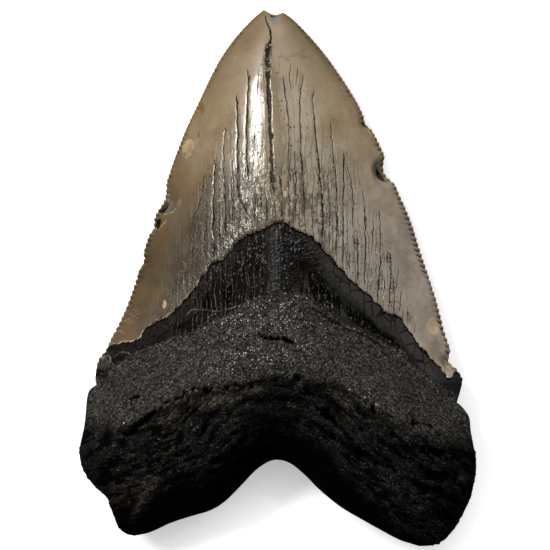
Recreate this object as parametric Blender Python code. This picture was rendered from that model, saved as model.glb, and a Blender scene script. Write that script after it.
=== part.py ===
"""A fossil megalodon tooth, one solid, lying on its flat labial face with its domed lingual face up.

X runs across the tooth, Y towards the tip and Z up; the origin is on the table, under the middle
of the tooth. All lengths are millimetres until the mesh is written.

The solid starts as a flat slab of quads, (across, down) = 0 to 1 from side to side and from tip to
root base. plan() lays that slab out inside the tooth's outline, and front_height() and
back_height() raise its two sides to the lingual and the labial face.
"""

import math

import bmesh
import bpy
import numpy as np

MM = 0.001

# Outline of the tooth seen from above, as (x, y) points. Each blade edge runs from the tip to the
# shoulder where the crown meets the root, each root side from there to the end of its lobe.
LEFT_BLADE = [
    (-2.7, 49.8), (-5.2, 47.7), (-8.5, 44.0), (-11.5, 39.4), (-14.5, 33.2), (-17.5, 26.8),
    (-20.1, 19.8), (-22.5, 12.6), (-24.7, 5.9), (-26.4, -0.3), (-28.5, -6.2), (-31.0, -11.2),
    (-32.0, -13.5), (-33.4, -15.3), (-33.9, -18.5), (-33.7, -19.9),
]
LEFT_ROOT = [
    (-33.7, -19.9), (-35.0, -20.9), (-35.5, -22.8), (-35.8, -26.8), (-36.6, -30.6),
    (-36.8, -32.4), (-36.3, -35.2), (-34.6, -38.0), (-31.8, -40.8), (-31.0, -42.8),
    (-29.7, -46.0), (-28.4, -47.4), (-26.6, -47.9),
]
RIGHT_BLADE = [
    (0.9, 49.5), (3.7, 47.3), (8.2, 42.3), (11.9, 37.2), (14.7, 32.7), (16.4, 29.3),
    (18.3, 26.1), (20.3, 21.7), (22.3, 16.3), (24.6, 11.0), (26.5, 5.1), (27.8, 1.2),
    (29.5, -4.2), (31.0, -9.9), (32.0, -13.1), (32.2, -15.3), (33.6, -17.5), (34.3, -19.2),
    (33.2, -23.2),
]
RIGHT_ROOT = [
    (33.2, -23.2), (34.2, -24.0), (35.5, -25.9), (35.8, -28.7), (36.4, -31.7), (36.8, -35.0),
    (36.3, -38.4), (35.5, -41.4), (34.1, -44.1), (32.6, -46.8), (30.2, -49.1), (28.3, -49.7),
    (26.2, -49.8),
]
# The root's underside, from the end of the left lobe over the notch to the end of the right one.
BASE_EDGE = [
    (-26.6, -47.9), (-23.6, -47.2), (-20.1, -45.6), (-16.3, -44.3), (-12.6, -43.2),
    (-9.7, -41.4), (-6.5, -38.2), (-4.1, -35.7), (-1.7, -34.1), (0.2, -33.8), (2.4, -34.5),
    (4.9, -36.5), (7.8, -39.4), (11.6, -42.5), (15.3, -44.7), (19.4, -47.0), (22.7, -48.7),
    (26.2, -49.8),
]
# Lower edge of the enamel on the lingual face, a chevron, and the neck, where the bourlette (the
# dark band below the enamel) meets the root.
ENAMEL_EDGE = [
    (-32.0, -13.0), (-26.6, -11.6), (-20.1, -6.6), (-14.3, -0.3), (-9.5, 4.0), (-5.0, 8.2),
    (0.4, 10.4), (6.5, 7.4), (13.4, -0.1), (19.9, -6.2), (24.8, -10.3), (34.0, -19.6),
]
NECK = [
    (-33.8, -19.4), (-29.7, -16.1), (-25.6, -13.8), (-20.1, -11.6), (-13.6, -8.8),
    (-8.9, -6.9), (-4.3, -4.7), (-0.2, -3.8), (4.1, -4.2), (7.8, -6.0), (12.5, -8.8),
    (19.0, -12.0), (25.5, -16.8), (33.3, -23.0),
]
# Lower edge of the enamel on the labial face, a shallow arch.
LABIAL_ENAMEL_EDGE = [(-34.5, -19.5), (-18.0, -13.0), (0.0, -9.5), (18.0, -14.0), (35.0, -21.5)]

# Heights above the table, as (y, z): the crown's lingual ridge, the tooth's rim, and the labial face.
RIDGE_Z = [(-30, 17.4), (-4, 16.4), (7, 15.6), (14, 14.7), (22, 13.3), (29, 11.8), (37, 9.7),
           (44, 7.2), (49.7, 4.4)]
RIM_Z = [(-50, 7.4), (-38, 8.6), (-26, 7.8), (-18, 5.6), (-10, 3.6), (0, 2.5), (20, 2.1), (50, 2.5)]
LABIAL_Z = [(36, 0.0), (43, 0.5), (50, 1.7)]
RIM_THICKNESS = 0.3          # of the worn cutting edge
ROOT_TOP = 21.0              # the root's highest point, above the middle of its arch
LOBE_DROP = 4.4              # how much lower the root's crest is at its outer sides
LOBE_END_DROP = 2.6          # and how much lower again at the ends of the lobes
LENS_POWER = 1.7             # crown's section: 1 is a straight bevel, 2 a parabola
RIDGE_ROUNDING = 0.2         # how far out from the ridge, as a share of the half width, it is rounded
BASE_ROUNDING = 14.5         # how far in from the notch and the underside the root is rounded
SIDE_ROUNDING = 7.5          # and from its sides
ROOT_RISE = (-0.8, 9.5)      # the root climbs above the crown over this stretch below the neck
ENAMEL_STEP = 0.45           # the enamel stands this proud of the bourlette
LABIAL_ROUNDING = 9.0
LABIAL_STEP = 0.5
LABIAL_HOLLOW = 1.6          # depth of the shallow hollow in the root's labial face
# Flats that the tooth lies on, one on the crown and one on each lobe: x, y and radius.
BEARINGS = [(0.0, 12.0, 9.0), (-24.5, -35.5, 4.0), (25.0, -37.0, 4.0)]

# The long fissure down the lingual ridge, as (x, y), and (y, half width, depth) down its length.
FISSURE = [(-2.4, 49.0), (-1.6, 46.0), (-1.2, 44.5), (-1.9, 41.5), (-1.9, 35.0), (-1.6, 30.0),
           (-1.3, 23.0), (-0.9, 14.5)]
FISSURE_SIZE = [(12.0, 0.2, 0.0), (15.0, 0.35, 0.45), (30.0, 0.35, 0.5), (37.5, 0.4, 0.5),
                (39.5, 0.9, 0.65), (43.5, 0.5, 0.5), (49.0, 0.2, 0.3)]
# Bites out of the rim: x, y, reach, depth, the way the bite goes in degrees, and how deeply the
# lingual face is scooped beside it.
BITES = [
    (-0.6, 50.0, 2.0, 0.75, 270, 0.5),
    (-21.4, 14.8, 3.2, 0.7, 335, 0.7),
    (-23.3, 9.2, 1.6, 1.0, 340, 0.5),
    (-25.4, 3.0, 1.8, 0.45, 340, 0.2),
    (16.4, 28.6, 1.5, 0.4, 205, 0.2),
    (20.3, 19.8, 3.0, 1.3, 200, 0.7),
    (32.0, -15.6, 1.8, 0.5, 200, 0.3),
]
# Flakes lost from the face beside the edge: x, y, half length, half width, slant, depth.
FLAKES = [(-17.2, 24.0, 2.2, 1.3, 70, 0.3), (29.0, -8.6, 2.4, 1.2, 100, 0.3)]
# Crevices, pits and hollows of the root: x, y, half length, half width, slant, depth. A negative
# depth is a swelling.
CREVICES = [
    (-0.2, -11.4, 3.4, 0.9, -12, 0.5),
    (3.8, -18.4, 1.8, 1.5, -15, 1.7),
    (-7.6, -20.2, 3.6, 1.0, 4, 1.2),
    (-14.4, -21.0, 3.2, 1.0, 10, 0.9),
    (-19.8, -23.5, 3.0, 1.1, 20, 1.0),
    (-26.4, -27.6, 4.2, 1.6, 24, 1.6),
    (-32.2, -29.6, 3.6, 2.8, 80, 1.7),
    (-32.0, -36.6, 5.0, 2.4, 95, 0.9),
    (-27.4, -38.6, 9.5, 2.2, 98, -1.2),
    (-10.8, -22.9, 4.6, 1.6, 12, -0.7),
    (-18.6, -27.6, 7.5, 1.4, 26, 0.6),
    (-9.4, -34.0, 3.0, 1.4, 25, 1.0),
    (0.2, -23.6, 6.4, 2.6, 0, 1.5),
    (13.8, -20.9, 2.6, 0.9, -25, 1.0),
    (17.3, -24.0, 2.4, 0.9, -35, 0.9),
    (11.4, -26.0, 5.4, 1.2, -28, 1.0),
    (14.4, -31.0, 5.0, 1.3, -34, 1.3),
    (20.6, -35.8, 4.8, 1.3, -36, 1.0),
    (25.2, -26.4, 2.2, 0.9, -20, 0.8),
    (29.8, -31.4, 3.8, 1.1, -32, 0.7),
    (22.0, -30.0, 6.0, 1.6, -32, -0.6),
    (31.0, -39.5, 5.5, 4.0, 100, -0.6),
    (33.9, -38.2, 1.6, 0.7, 40, 0.6),
    (34.0, -21.6, 2.0, 1.2, 120, 0.8),
    (-33.0, -20.6, 2.6, 1.4, 50, 0.9),
]
LUMP_SIZE = 7.0              # spacing of the root's low lumps
LUMP_HEIGHT = 0.45

COLUMNS = 80
CROWN_ROWS = 44
ROOT_ROWS = 32
JOIN = 0.6                   # down at the shoulders, where the crown's rows end
CHEVRON_RISE = 17.5          # how far the row through the shoulders arches up at its middle
SERRATIONS = 66              # teeth of the cutting edge, down one side of the crown
CUTS_PER_ROW = 3             # cuts in one row of the slab's rim, which the serrations need
SERRATION_DEPTH = 0.22
KEPT_SHARE = 0.36            # share of the slab's triangles that the finished solid keeps


def smooth_curve(points, steps=10):
    """A Catmull-Rom curve through the points, as a dense polyline."""
    p = np.array(points, float)
    p = np.vstack([2 * p[0] - p[1], p, 2 * p[-1] - p[-2]])
    t = np.linspace(0, 1, steps, endpoint=False)[:, None]
    spans = [
        0.5 * (2 * b + (c - a) * t + (2 * a - 5 * b + 4 * c - d) * t**2
               + (3 * b - a - 3 * c + d) * t**3)
        for a, b, c, d in zip(p, p[1:], p[2:], p[3:])
    ]
    return np.vstack([*spans, p[-2]])


def along(curve, share):
    """The points at these shares of the curve's length."""
    run = np.concatenate([[0], np.cumsum(np.linalg.norm(np.diff(curve, axis=0), axis=1))])
    run /= run[-1]
    return np.stack([np.interp(share, run, curve[:, 0]), np.interp(share, run, curve[:, 1])], -1)


def distance_to(curve, xy):
    """How far each point lies from the curve."""
    a, b = curve[:-1], curve[1:]
    ab = b - a
    ap = xy[:, None, :] - a[None]
    share = np.clip((ap * ab).sum(2) / np.maximum((ab * ab).sum(1), 1e-12), 0, 1)
    return np.linalg.norm(ap - share[..., None] * ab, axis=2).min(1)


def height_at(table, y):
    """Reads a (y, value) table, eased so that its corners don't show."""
    ys, values = np.array(sorted(table), float).T
    fine = np.arange(ys[0] - 6, ys[-1] + 6.01, 0.5)
    eased = np.convolve(np.interp(fine, ys, values), np.hanning(9) / np.hanning(9).sum(), "same")
    inside = slice(8, -8)
    return np.interp(y, fine[inside], eased[inside])


def ease(x, start, end):
    """0 before start, 1 after end, smooth between."""
    t = np.clip((x - start) / (end - start), 0, 1)
    return t * t * (3 - 2 * t)


def blob(x, y, spot):
    """1 at the middle of an oval spot (x, y, half length, half width, slant, ...), 0 outside it."""
    slant = math.radians(spot[4])
    dx, dy = x - spot[0], y - spot[1]
    u = (dx * math.cos(slant) + dy * math.sin(slant)) / spot[2]
    v = (dy * math.cos(slant) - dx * math.sin(slant)) / spot[3]
    return np.clip(1 - u * u - v * v, 0, 1) ** 1.5


def lumps(x, y, size, seed):
    """Smooth random relief from -1 to 1, with bumps about this size apart."""
    grid = np.random.default_rng(seed).uniform(-1, 1, (32, 32))
    gx, gy = x / size + 16, y / size + 16
    ix, iy = np.floor(gx).astype(int), np.floor(gy).astype(int)
    fx, fy = ease(gx - ix, 0, 1), ease(gy - iy, 0, 1)
    ix, iy = ix % 31, iy % 31
    low = grid[iy, ix] * (1 - fx) + grid[iy, ix + 1] * fx
    high = grid[iy + 1, ix] * (1 - fx) + grid[iy + 1, ix + 1] * fx
    return low * (1 - fy) + high * fy


LEFT_BLADE_CURVE, LEFT_ROOT_CURVE = smooth_curve(LEFT_BLADE), smooth_curve(LEFT_ROOT)
RIGHT_BLADE_CURVE, RIGHT_ROOT_CURVE = smooth_curve(RIGHT_BLADE), smooth_curve(RIGHT_ROOT)
BASE_CURVE = smooth_curve(BASE_EDGE)
ENAMEL_CURVE, NECK_CURVE = smooth_curve(ENAMEL_EDGE), smooth_curve(NECK)
LABIAL_CURVE = smooth_curve(LABIAL_ENAMEL_EDGE)
FISSURE_CURVE = smooth_curve(FISSURE)[::-1]


def side_point(blade, root, down):
    """The point of one side of the outline, in two stretches that meet at the shoulder."""
    crown = along(blade, np.clip(down / JOIN, 0, 1))
    below = along(root, np.clip((down - JOIN) / (1 - JOIN), 0, 1))
    return np.where((down < JOIN)[:, None], crown, below)


def plan(across, down):
    """Where a point of the slab lies in the outline, as (x, y)."""
    left = side_point(LEFT_BLADE_CURVE, LEFT_ROOT_CURVE, down)
    right = side_point(RIGHT_BLADE_CURVE, RIGHT_ROOT_CURVE, down)
    share = across[:, None]
    chord = left * (1 - share) + right * share
    ends = BASE_CURVE[0] * (1 - share) + BASE_CURVE[-1] * share
    notch = along(BASE_CURVE, across) - ends
    chevron = np.stack([0 * across, CHEVRON_RISE * (1 - np.abs(2 * across - 1) ** 1.3)], -1)
    below = ease(down, JOIN, 1)[:, None]
    crown = np.clip(down / JOIN, 0, 1)[:, None] ** 2
    return chord + crown * chevron * (1 - below) + notch * below


def inset(x, y):
    """How far in from each side and from the base a point lies."""
    xy = np.stack([x, y], -1)
    left = distance_to(np.vstack([LEFT_BLADE_CURVE, LEFT_ROOT_CURVE[1:]]), xy)
    right = distance_to(np.vstack([RIGHT_BLADE_CURVE, RIGHT_ROOT_CURVE[1:]]), xy)
    return left, right, distance_to(BASE_CURVE, xy)


def nearest(left, right, base, side_reach, base_reach):
    """Share of the way in from the nearest rim, blended so that no crease shows between two rims."""
    shares = [left / side_reach, right / side_reach, base / base_reach]
    return sum(np.maximum(s, 1e-6) ** -3.0 for s in shares) ** (-1 / 3.0)


def dome(share):
    """Quarter circle: 0 at the rim, 1 and level from a share of 1."""
    return np.sqrt(1 - (1 - np.clip(share, 0, 1)) ** 2)


def lens_share(lateral):
    """The crown's section: 1 on the ridge, 0 at both cutting edges, which lie at -1 and 1."""
    def rounded(side):
        return (side * side + RIDGE_ROUNDING**2) ** (LENS_POWER / 2)
    return 1 - (rounded(lateral) - rounded(0)) / (rounded(1) - rounded(0))


def fissure_depth(x, y):
    """Depth of the long fissure at a point."""
    middle = np.interp(y, FISSURE_CURVE[:, 1], FISSURE_CURVE[:, 0])
    ys, widths, depths = np.array(FISSURE_SIZE).T
    width = np.interp(y, ys, widths)
    return np.interp(y, ys, depths, left=0, right=0) * np.exp(-(((x - middle) / width) ** 2))


def below_edge(curve, x, y):
    """How far below a chevron a point lies, measured down the tooth."""
    return np.interp(x, curve[:, 0], curve[:, 1]) - y


def front_height(x, y):
    """The lingual face: a lens-shaped crown, a bourlette and a domed root with its crevices."""
    left, right, base = inset(x, y)
    rim = height_at(RIM_Z, y) + RIM_THICKNESS / 2
    lateral = (left - right) / (left + right)
    lens = lens_share(lateral)
    crown = rim + (height_at(RIDGE_Z, y) - rim) * lens
    crown += ENAMEL_STEP * ease(below_edge(ENAMEL_CURVE, x, y), 0.6, -0.2) * ease(lens, 0, 0.3)
    crown -= fissure_depth(x, y)

    crest = ROOT_TOP - LOBE_DROP * np.abs(x / 36) ** 1.8 - LOBE_END_DROP * ease(y, -28, -48)
    crest += LUMP_HEIGHT * lumps(x, y, LUMP_SIZE, seed=3)
    crest -= sum(spot[5] * blob(x, y, spot) for spot in CREVICES)
    share = nearest(left, right, base, SIDE_ROUNDING, BASE_ROUNDING)
    root = rim + (crest - rim) * dome(share)
    return crown + (root - crown) * ease(below_edge(NECK_CURVE, x, y), *ROOT_RISE)


def back_height(x, y):
    """The labial face: flat where it lies on the table, bevelled to the rim, hollow in the root."""
    left, right, base = inset(x, y)
    rim = height_at(RIM_Z, y) - RIM_THICKNESS / 2
    share = np.clip(nearest(left, right, base, LABIAL_ROUNDING, LABIAL_ROUNDING), 0, 1)
    below = below_edge(LABIAL_CURVE, x, y)
    flat = np.interp(y, *np.array(LABIAL_Z).T)
    flat = flat + LABIAL_STEP * ease(below, -0.8, 0.8) * ease(below, 12, 4)
    flat = flat + LABIAL_HOLLOW * blob(x, y, (0, -21.0, 17, 9, 0))
    flat = flat + 0.25 * np.clip(lumps(x, y, 9.0, seed=5) + 0.2, 0, 1)
    for bx, by, radius in BEARINGS:
        flat = flat * ease(np.hypot(x - bx, y - by), radius, radius + 4)
    bevel = 1 - (1 - share) ** 2.4
    return rim - (rim - flat) * (bevel + (dome(share) - bevel) * ease(below, -2, 6))


def bite(x, y, z):
    """Moves the rim inwards at each bite and scoops the lingual face beside it."""
    for bx, by, reach, depth, way, scoop in BITES:
        pull = np.clip(1 - ((x - bx) ** 2 + (y - by) ** 2) / reach**2, 0, 1) ** 1.5
        x = x + depth * pull * math.cos(math.radians(way))
        y = y + depth * pull * math.sin(math.radians(way))
        z = z - scoop * pull * ease(z - height_at(RIM_Z, y), 0.2, 1.2)
    return x, y, z


def tooth_points(across, down, upper):
    """Every vertex of the tooth, from its place in the slab."""
    x, y = plan(across, down).T
    z = np.where(upper, front_height(x, y), back_height(x, y))
    for spot in FLAKES:
        z = z - np.where(upper, spot[5] * blob(x, y, spot), 0)
    x, y, z = bite(x, y, z)

    on_side = np.minimum(across, 1 - across) < 1e-6
    run = np.clip(down / JOIN, 0, 1)
    notch = 0.5 - 0.5 * np.cos(2 * math.pi * SERRATIONS * run)
    inwards = np.sign(0.5 - across) * on_side * notch * SERRATION_DEPTH
    fade = ease(run, 0.02, 0.07) * ease(run, 0.98, 0.9)
    return np.stack([x + inwards * fade, y, z], -1)


def spread_columns(share):
    """Column positions: closer together at the ridge, for the fissure, and at the sides."""
    side = 2 * share - 1
    middle = np.sign(side) * np.abs(side) ** 1.25
    outer = side + 0.5 * np.sin(math.pi * side) / math.pi
    weight = ease(np.abs(side), 0.25, 0.8)
    return 0.5 + 0.5 * (middle * (1 - weight) + outer * weight)


def spread_rows(share):
    """Row positions: even down the crown, then closer together towards the root's base."""
    rows = share * (CROWN_ROWS + ROOT_ROWS)
    root = np.clip((rows - CROWN_ROWS) / ROOT_ROWS, 0, 1)
    return np.where(rows <= CROWN_ROWS, JOIN * rows / CROWN_ROWS,
                    JOIN + (1 - JOIN) * np.sin(root * math.pi / 2) ** 0.92)


def make_slab():
    """A slab one unit square of quads, one cell thick, as a bmesh: x is across, y down, z the side."""
    bm = bmesh.new()
    bmesh.ops.create_grid(bm, x_segments=COLUMNS, y_segments=CROWN_ROWS + ROOT_ROWS, size=0.5)
    bmesh.ops.translate(bm, verts=bm.verts, vec=(0.5, 0.5, 0))
    raised = bmesh.ops.extrude_face_region(bm, geom=bm.faces[:], use_keep_orig=True)
    top = [v for v in raised["geom"] if isinstance(v, bmesh.types.BMVert)]
    bmesh.ops.translate(bm, verts=top, vec=(0, 0, 1))

    side_edges = [
        e for e in bm.edges
        if abs(e.verts[0].co.x - e.verts[1].co.x) < 1e-6
        and abs(e.verts[0].co.z - e.verts[1].co.z) < 1e-6
        and min(e.verts[0].co.x, 1 - e.verts[0].co.x) < 1e-6
        and max(v.co.y for v in e.verts) < (CROWN_ROWS + 0.5) / (CROWN_ROWS + ROOT_ROWS)
    ]
    bmesh.ops.subdivide_edges(bm, edges=side_edges, cuts=CUTS_PER_ROW)
    bmesh.ops.triangulate(bm, faces=bm.faces)
    return bm


def fossil_material():
    material = bpy.data.materials.new("fossil_tooth")
    material.use_nodes = True
    shader = material.node_tree.nodes["Principled BSDF"]
    shader.inputs["Base Color"].default_value = (0.17, 0.145, 0.115, 1)
    shader.inputs["Roughness"].default_value = 0.35
    shader.inputs["Metallic"].default_value = 0.0
    return material


def build_tooth(collection):
    bm = make_slab()
    slab = np.array([v.co for v in bm.verts])
    points = tooth_points(spread_columns(slab[:, 0]), spread_rows(slab[:, 1]), slab[:, 2] > 0.5)
    for vertex, point in zip(bm.verts, points):
        vertex.co = point * MM
    bm.normal_update()
    bmesh.ops.recalc_face_normals(bm, faces=bm.faces)
    mesh = bpy.data.meshes.new("tooth")
    bm.to_mesh(mesh)
    bm.free()
    mesh.shade_smooth()
    mesh.set_sharp_from_angle(angle=math.radians(50))
    mesh.materials.append(fossil_material())
    tooth = bpy.data.objects.new("tooth", mesh)
    collection.objects.link(tooth)
    thin = tooth.modifiers.new("thin_out_flat_areas", "DECIMATE")
    thin.decimate_type = "COLLAPSE"
    thin.ratio = KEPT_SHARE
    return tooth


def main():
    for obj in list(bpy.data.objects):
        bpy.data.objects.remove(obj)
    collection = bpy.data.collections.new("megalodon_tooth")
    bpy.context.scene.collection.children.link(collection)
    build_tooth(collection)


main()
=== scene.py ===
import math

import bmesh
import bpy
import numpy as np
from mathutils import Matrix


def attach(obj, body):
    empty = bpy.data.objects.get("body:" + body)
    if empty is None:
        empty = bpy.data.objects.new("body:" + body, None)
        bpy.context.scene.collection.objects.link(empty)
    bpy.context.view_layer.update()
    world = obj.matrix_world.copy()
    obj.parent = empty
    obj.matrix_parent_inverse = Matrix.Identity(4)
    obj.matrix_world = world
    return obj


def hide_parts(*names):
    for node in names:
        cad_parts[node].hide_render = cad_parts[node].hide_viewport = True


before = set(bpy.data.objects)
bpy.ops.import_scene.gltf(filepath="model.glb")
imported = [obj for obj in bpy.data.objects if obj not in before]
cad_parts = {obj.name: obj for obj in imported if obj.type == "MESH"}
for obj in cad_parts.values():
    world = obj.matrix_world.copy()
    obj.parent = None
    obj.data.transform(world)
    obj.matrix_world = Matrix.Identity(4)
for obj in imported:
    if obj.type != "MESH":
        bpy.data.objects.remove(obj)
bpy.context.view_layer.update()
mm = 0.001

# The tooth's lengths are millimetres: X across it, Y towards the tip, Z up from the table.
# The studio's and the camera's are metres.

outline = {
    # each blade edge runs from the tip to the shoulder, each root side from there to its lobe
    "leftBlade": [
        (-2.7, 49.8), (-5.2, 47.7), (-8.5, 44.0), (-11.5, 39.4), (-14.5, 33.2), (-17.5, 26.8),
        (-20.1, 19.8), (-22.5, 12.6), (-24.7, 5.9), (-26.4, -0.3), (-28.5, -6.2), (-31.0, -11.2),
        (-32.0, -13.5), (-33.4, -15.3), (-33.9, -18.5), (-33.7, -19.9),
    ],
    "leftRoot": [
        (-33.7, -19.9), (-35.0, -20.9), (-35.5, -22.8), (-35.8, -26.8), (-36.6, -30.6),
        (-36.8, -32.4), (-36.3, -35.2), (-34.6, -38.0), (-31.8, -40.8), (-31.0, -42.8),
        (-29.7, -46.0), (-28.4, -47.4), (-26.6, -47.9),
    ],
    "rightBlade": [
        (0.9, 49.5), (3.7, 47.3), (8.2, 42.3), (11.9, 37.2), (14.7, 32.7), (16.4, 29.3),
        (18.3, 26.1), (20.3, 21.7), (22.3, 16.3), (24.6, 11.0), (26.5, 5.1), (27.8, 1.2),
        (29.5, -4.2), (31.0, -9.9), (32.0, -13.1), (32.2, -15.3), (33.6, -17.5), (34.3, -19.2),
        (33.2, -23.2),
    ],
    "rightRoot": [
        (33.2, -23.2), (34.2, -24.0), (35.5, -25.9), (35.8, -28.7), (36.4, -31.7), (36.8, -35.0),
        (36.3, -38.4), (35.5, -41.4), (34.1, -44.1), (32.6, -46.8), (30.2, -49.1), (28.3, -49.7),
        (26.2, -49.8),
    ],
    "base": [
        (-26.6, -47.9), (-23.6, -47.2), (-20.1, -45.6), (-16.3, -44.3), (-12.6, -43.2),
        (-9.7, -41.4), (-6.5, -38.2), (-4.1, -35.7), (-1.7, -34.1), (0.2, -33.8), (2.4, -34.5),
        (4.9, -36.5), (7.8, -39.4), (11.6, -42.5), (15.3, -44.7), (19.4, -47.0), (22.7, -48.7),
        (26.2, -49.8),
    ],
    "enamel": [  # lower edge of the enamel on the lingual face
        (-33.0, -13.4), (-30.9, -12.5), (-26.6, -11.6), (-23.6, -9.0), (-20.1, -6.6), (-16.7, -3.8),
        (-14.3, -0.3), (-12.4, 2.5), (-9.5, 4.0), (-7.0, 7.0), (-3.0, 9.0), (0.4, 10.4), (3.7, 8.7),
        (6.5, 7.4), (9.7, 4.0), (13.4, -0.1), (17.1, -3.4), (19.9, -6.2), (22.3, -7.3),
        (24.8, -10.3), (27.9, -14.4), (30.7, -17.4), (31.8, -18.5), (33.1, -17.2), (34.8, -16.2),
    ],
    "neck": [  # where the bourlette meets the root
        (-34.2, -19.4), (-29.7, -16.1), (-25.6, -13.8), (-20.1, -11.6), (-16.3, -10.5),
        (-13.6, -8.8), (-8.9, -6.9), (-4.3, -4.7), (-0.2, -3.8), (4.1, -4.2), (7.8, -6.0),
        (12.5, -8.8), (16.2, -10.1), (19.0, -12.0), (22.7, -13.8), (25.5, -16.8), (30.2, -20.0),
        (34.6, -23.4),
    ],
    "crest": [  # below it the root falls away to its base
        (-37.5, -26.0), (-32.5, -27.0), (-27.5, -27.2), (-18.2, -22.2), (-9.5, -20.3), (-1.5, -18.1),
        (4.7, -18.5), (12.1, -20.3), (17.1, -24.1), (29.6, -28.9), (37.5, -30.0),
    ],
    "labialEnamel": [(-34.5, -19.5), (-18.0, -13.0), (0.0, -9.5), (18.0, -14.0), (35.0, -21.5)],
    "chevronRise": 17.5,    # how far the row of vertices through the shoulders arches up
}


def ease(x, start, end):  # 0 before start, 1 after end
    t = np.clip((x - start) / (end - start), 0, 1)
    return t * t * (3 - 2 * t)


def smoothCurve(points, steps=10):  # Catmull-Rom
    p = np.array(points, float)
    p = np.vstack([2 * p[0] - p[1], p, 2 * p[-1] - p[-2]])
    t = np.linspace(0, 1, steps, endpoint=False)[:, None]
    spans = [
        0.5 * (2 * b + (c - a) * t + (2 * a - 5 * b + 4 * c - d) * t**2
               + (3 * b - a - 3 * c + d) * t**3)
        for a, b, c, d in zip(p, p[1:], p[2:], p[3:])
    ]
    return np.vstack([*spans, p[-2]])


def runLength(curve):  # from the curve's start to each of its points
    steps = np.linalg.norm(np.diff(curve, axis=0), axis=1)
    return np.concatenate([[0], np.cumsum(steps)])


def alongCurve(curve, share):  # the point at a share of the curve's length
    run = runLength(curve) / runLength(curve)[-1]
    return np.stack([np.interp(share, run, curve[:, 0]), np.interp(share, run, curve[:, 1])], -1)


def closeTo(line, x, y, margin):  # the points near enough to a line to matter
    low, high = line.min(0) - margin, line.max(0) + margin
    return np.flatnonzero((x > low[0]) & (x < high[0]) & (y > low[1]) & (y < high[1]))


def distanceTo(curve, xy, atOnce=12000):  # from each point to the curve
    a, ab = curve[:-1], np.diff(curve, axis=0)
    found = []
    for part in np.array_split(xy, max(1, len(xy) // atOnce)):
        ap = part[:, None, :] - a[None]
        share = np.clip((ap * ab).sum(2) / np.maximum((ab * ab).sum(1), 1e-12), 0, 1)
        found.append(np.linalg.norm(ap - share[..., None] * ab, axis=2).min(1))
    return np.concatenate(found)


def readTable(table, y):  # eased so that the table's corners don't show
    ys, values = np.array(sorted(table), float).T
    fine = np.arange(ys[0] - 6, ys[-1] + 6.01, 0.5)
    weights = np.hanning(9) / np.hanning(9).sum()
    eased = np.convolve(np.interp(fine, ys, values), weights, "same")
    return np.interp(y, fine[8:-8], eased[8:-8])


def blob(x, y, spot):  # 1 in the middle of an oval spot, 0 outside it
    slant = math.radians(spot[4])
    dx, dy = x - spot[0], y - spot[1]
    u = (dx * math.cos(slant) + dy * math.sin(slant)) / spot[2]
    v = (dy * math.cos(slant) - dx * math.sin(slant)) / spot[3]
    return np.clip(1 - u * u - v * v, 0, 1) ** 1.5


def lumps(x, y, size, seed):  # smooth random relief from -1 to 1
    grid = np.random.default_rng(seed).uniform(-1, 1, (32, 32))
    gx, gy = x / size + 16, y / size + 16
    ix, iy = np.floor(gx).astype(int), np.floor(gy).astype(int)
    fx, fy = ease(gx - ix, 0, 1), ease(gy - iy, 0, 1)
    ix, iy = ix % 31, iy % 31
    low = grid[iy, ix] * (1 - fx) + grid[iy, ix + 1] * fx
    high = grid[iy + 1, ix] * (1 - fx) + grid[iy + 1, ix + 1] * fx
    return low * (1 - fy) + high * fy


curves = {name: smoothCurve(points) for name, points in outline.items() if name != "chevronRise"}

meshing = {
    "columns": 270,
    "crownRows": 158,
    "rootRows": 106,
    "join": 0.6,            # share of the way down at the shoulders
    "rimColumns": 6,        # finer cells along each cutting edge
    "rimCuts": 2,
    "backStep": 3,          # the flat labial face keeps every third row and column
    "roundedEdge": 0.1,     # share of the root's width where its columns draw together
}


def sidePoint(side, down):  # on the left or right side, down from the tip
    join = meshing["join"]
    crownPart = alongCurve(curves[side + "Blade"], np.clip(down / join, 0, 1))
    rootPart = alongCurve(curves[side + "Root"], np.clip((down - join) / (1 - join), 0, 1))
    return np.where((down < join)[:, None], crownPart, rootPart)


def planPoint(across, down):  # where a vertex of the slab lies, seen from above
    join = meshing["join"]
    share = across[:, None]
    chord = sidePoint("left", down) * (1 - share) + sidePoint("right", down) * share
    ends = curves["base"][0] * (1 - share) + curves["base"][-1] * share
    notch = alongCurve(curves["base"], across) - ends
    rise = outline["chevronRise"] * (1 - np.abs(2 * across - 1) ** 1.3)
    chevron = np.stack([0 * across, rise], -1)
    below = ease(down, join, 1)[:, None]
    crownShare = np.clip(down / join, 0, 1)[:, None] ** 2
    return chord + crownShare * chevron * (1 - below) + notch * below


def insets(x, y):  # distance from the left side, the right side and the base
    xy = np.stack([x, y], -1)
    left = distanceTo(np.vstack([curves["leftBlade"], curves["leftRoot"][1:]]), xy)
    right = distanceTo(np.vstack([curves["rightBlade"], curves["rightRoot"][1:]]), xy)
    return left, right, distanceTo(curves["base"], xy)


def nearest(inset, reach):  # share of the reach to the closest side, with the corners rounded off
    return sum(np.maximum(side / reach, 1e-6) ** -3.0 for side in inset) ** (-1 / 3.0)


def dome(share):  # a quarter circle from 0 to 1
    return np.sqrt(1 - (1 - np.clip(share, 0, 1)) ** 2)


def dropBelow(name, x, y):  # how far straight below a chevron
    return np.interp(x, *curves[name].T) - y


def belowCurve(name, x, y):  # the same, but square to it
    xs, ys = curves[name].T
    return dropBelow(name, x, y) / np.sqrt(1 + np.interp(x, xs, np.gradient(ys, xs)) ** 2)


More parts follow.
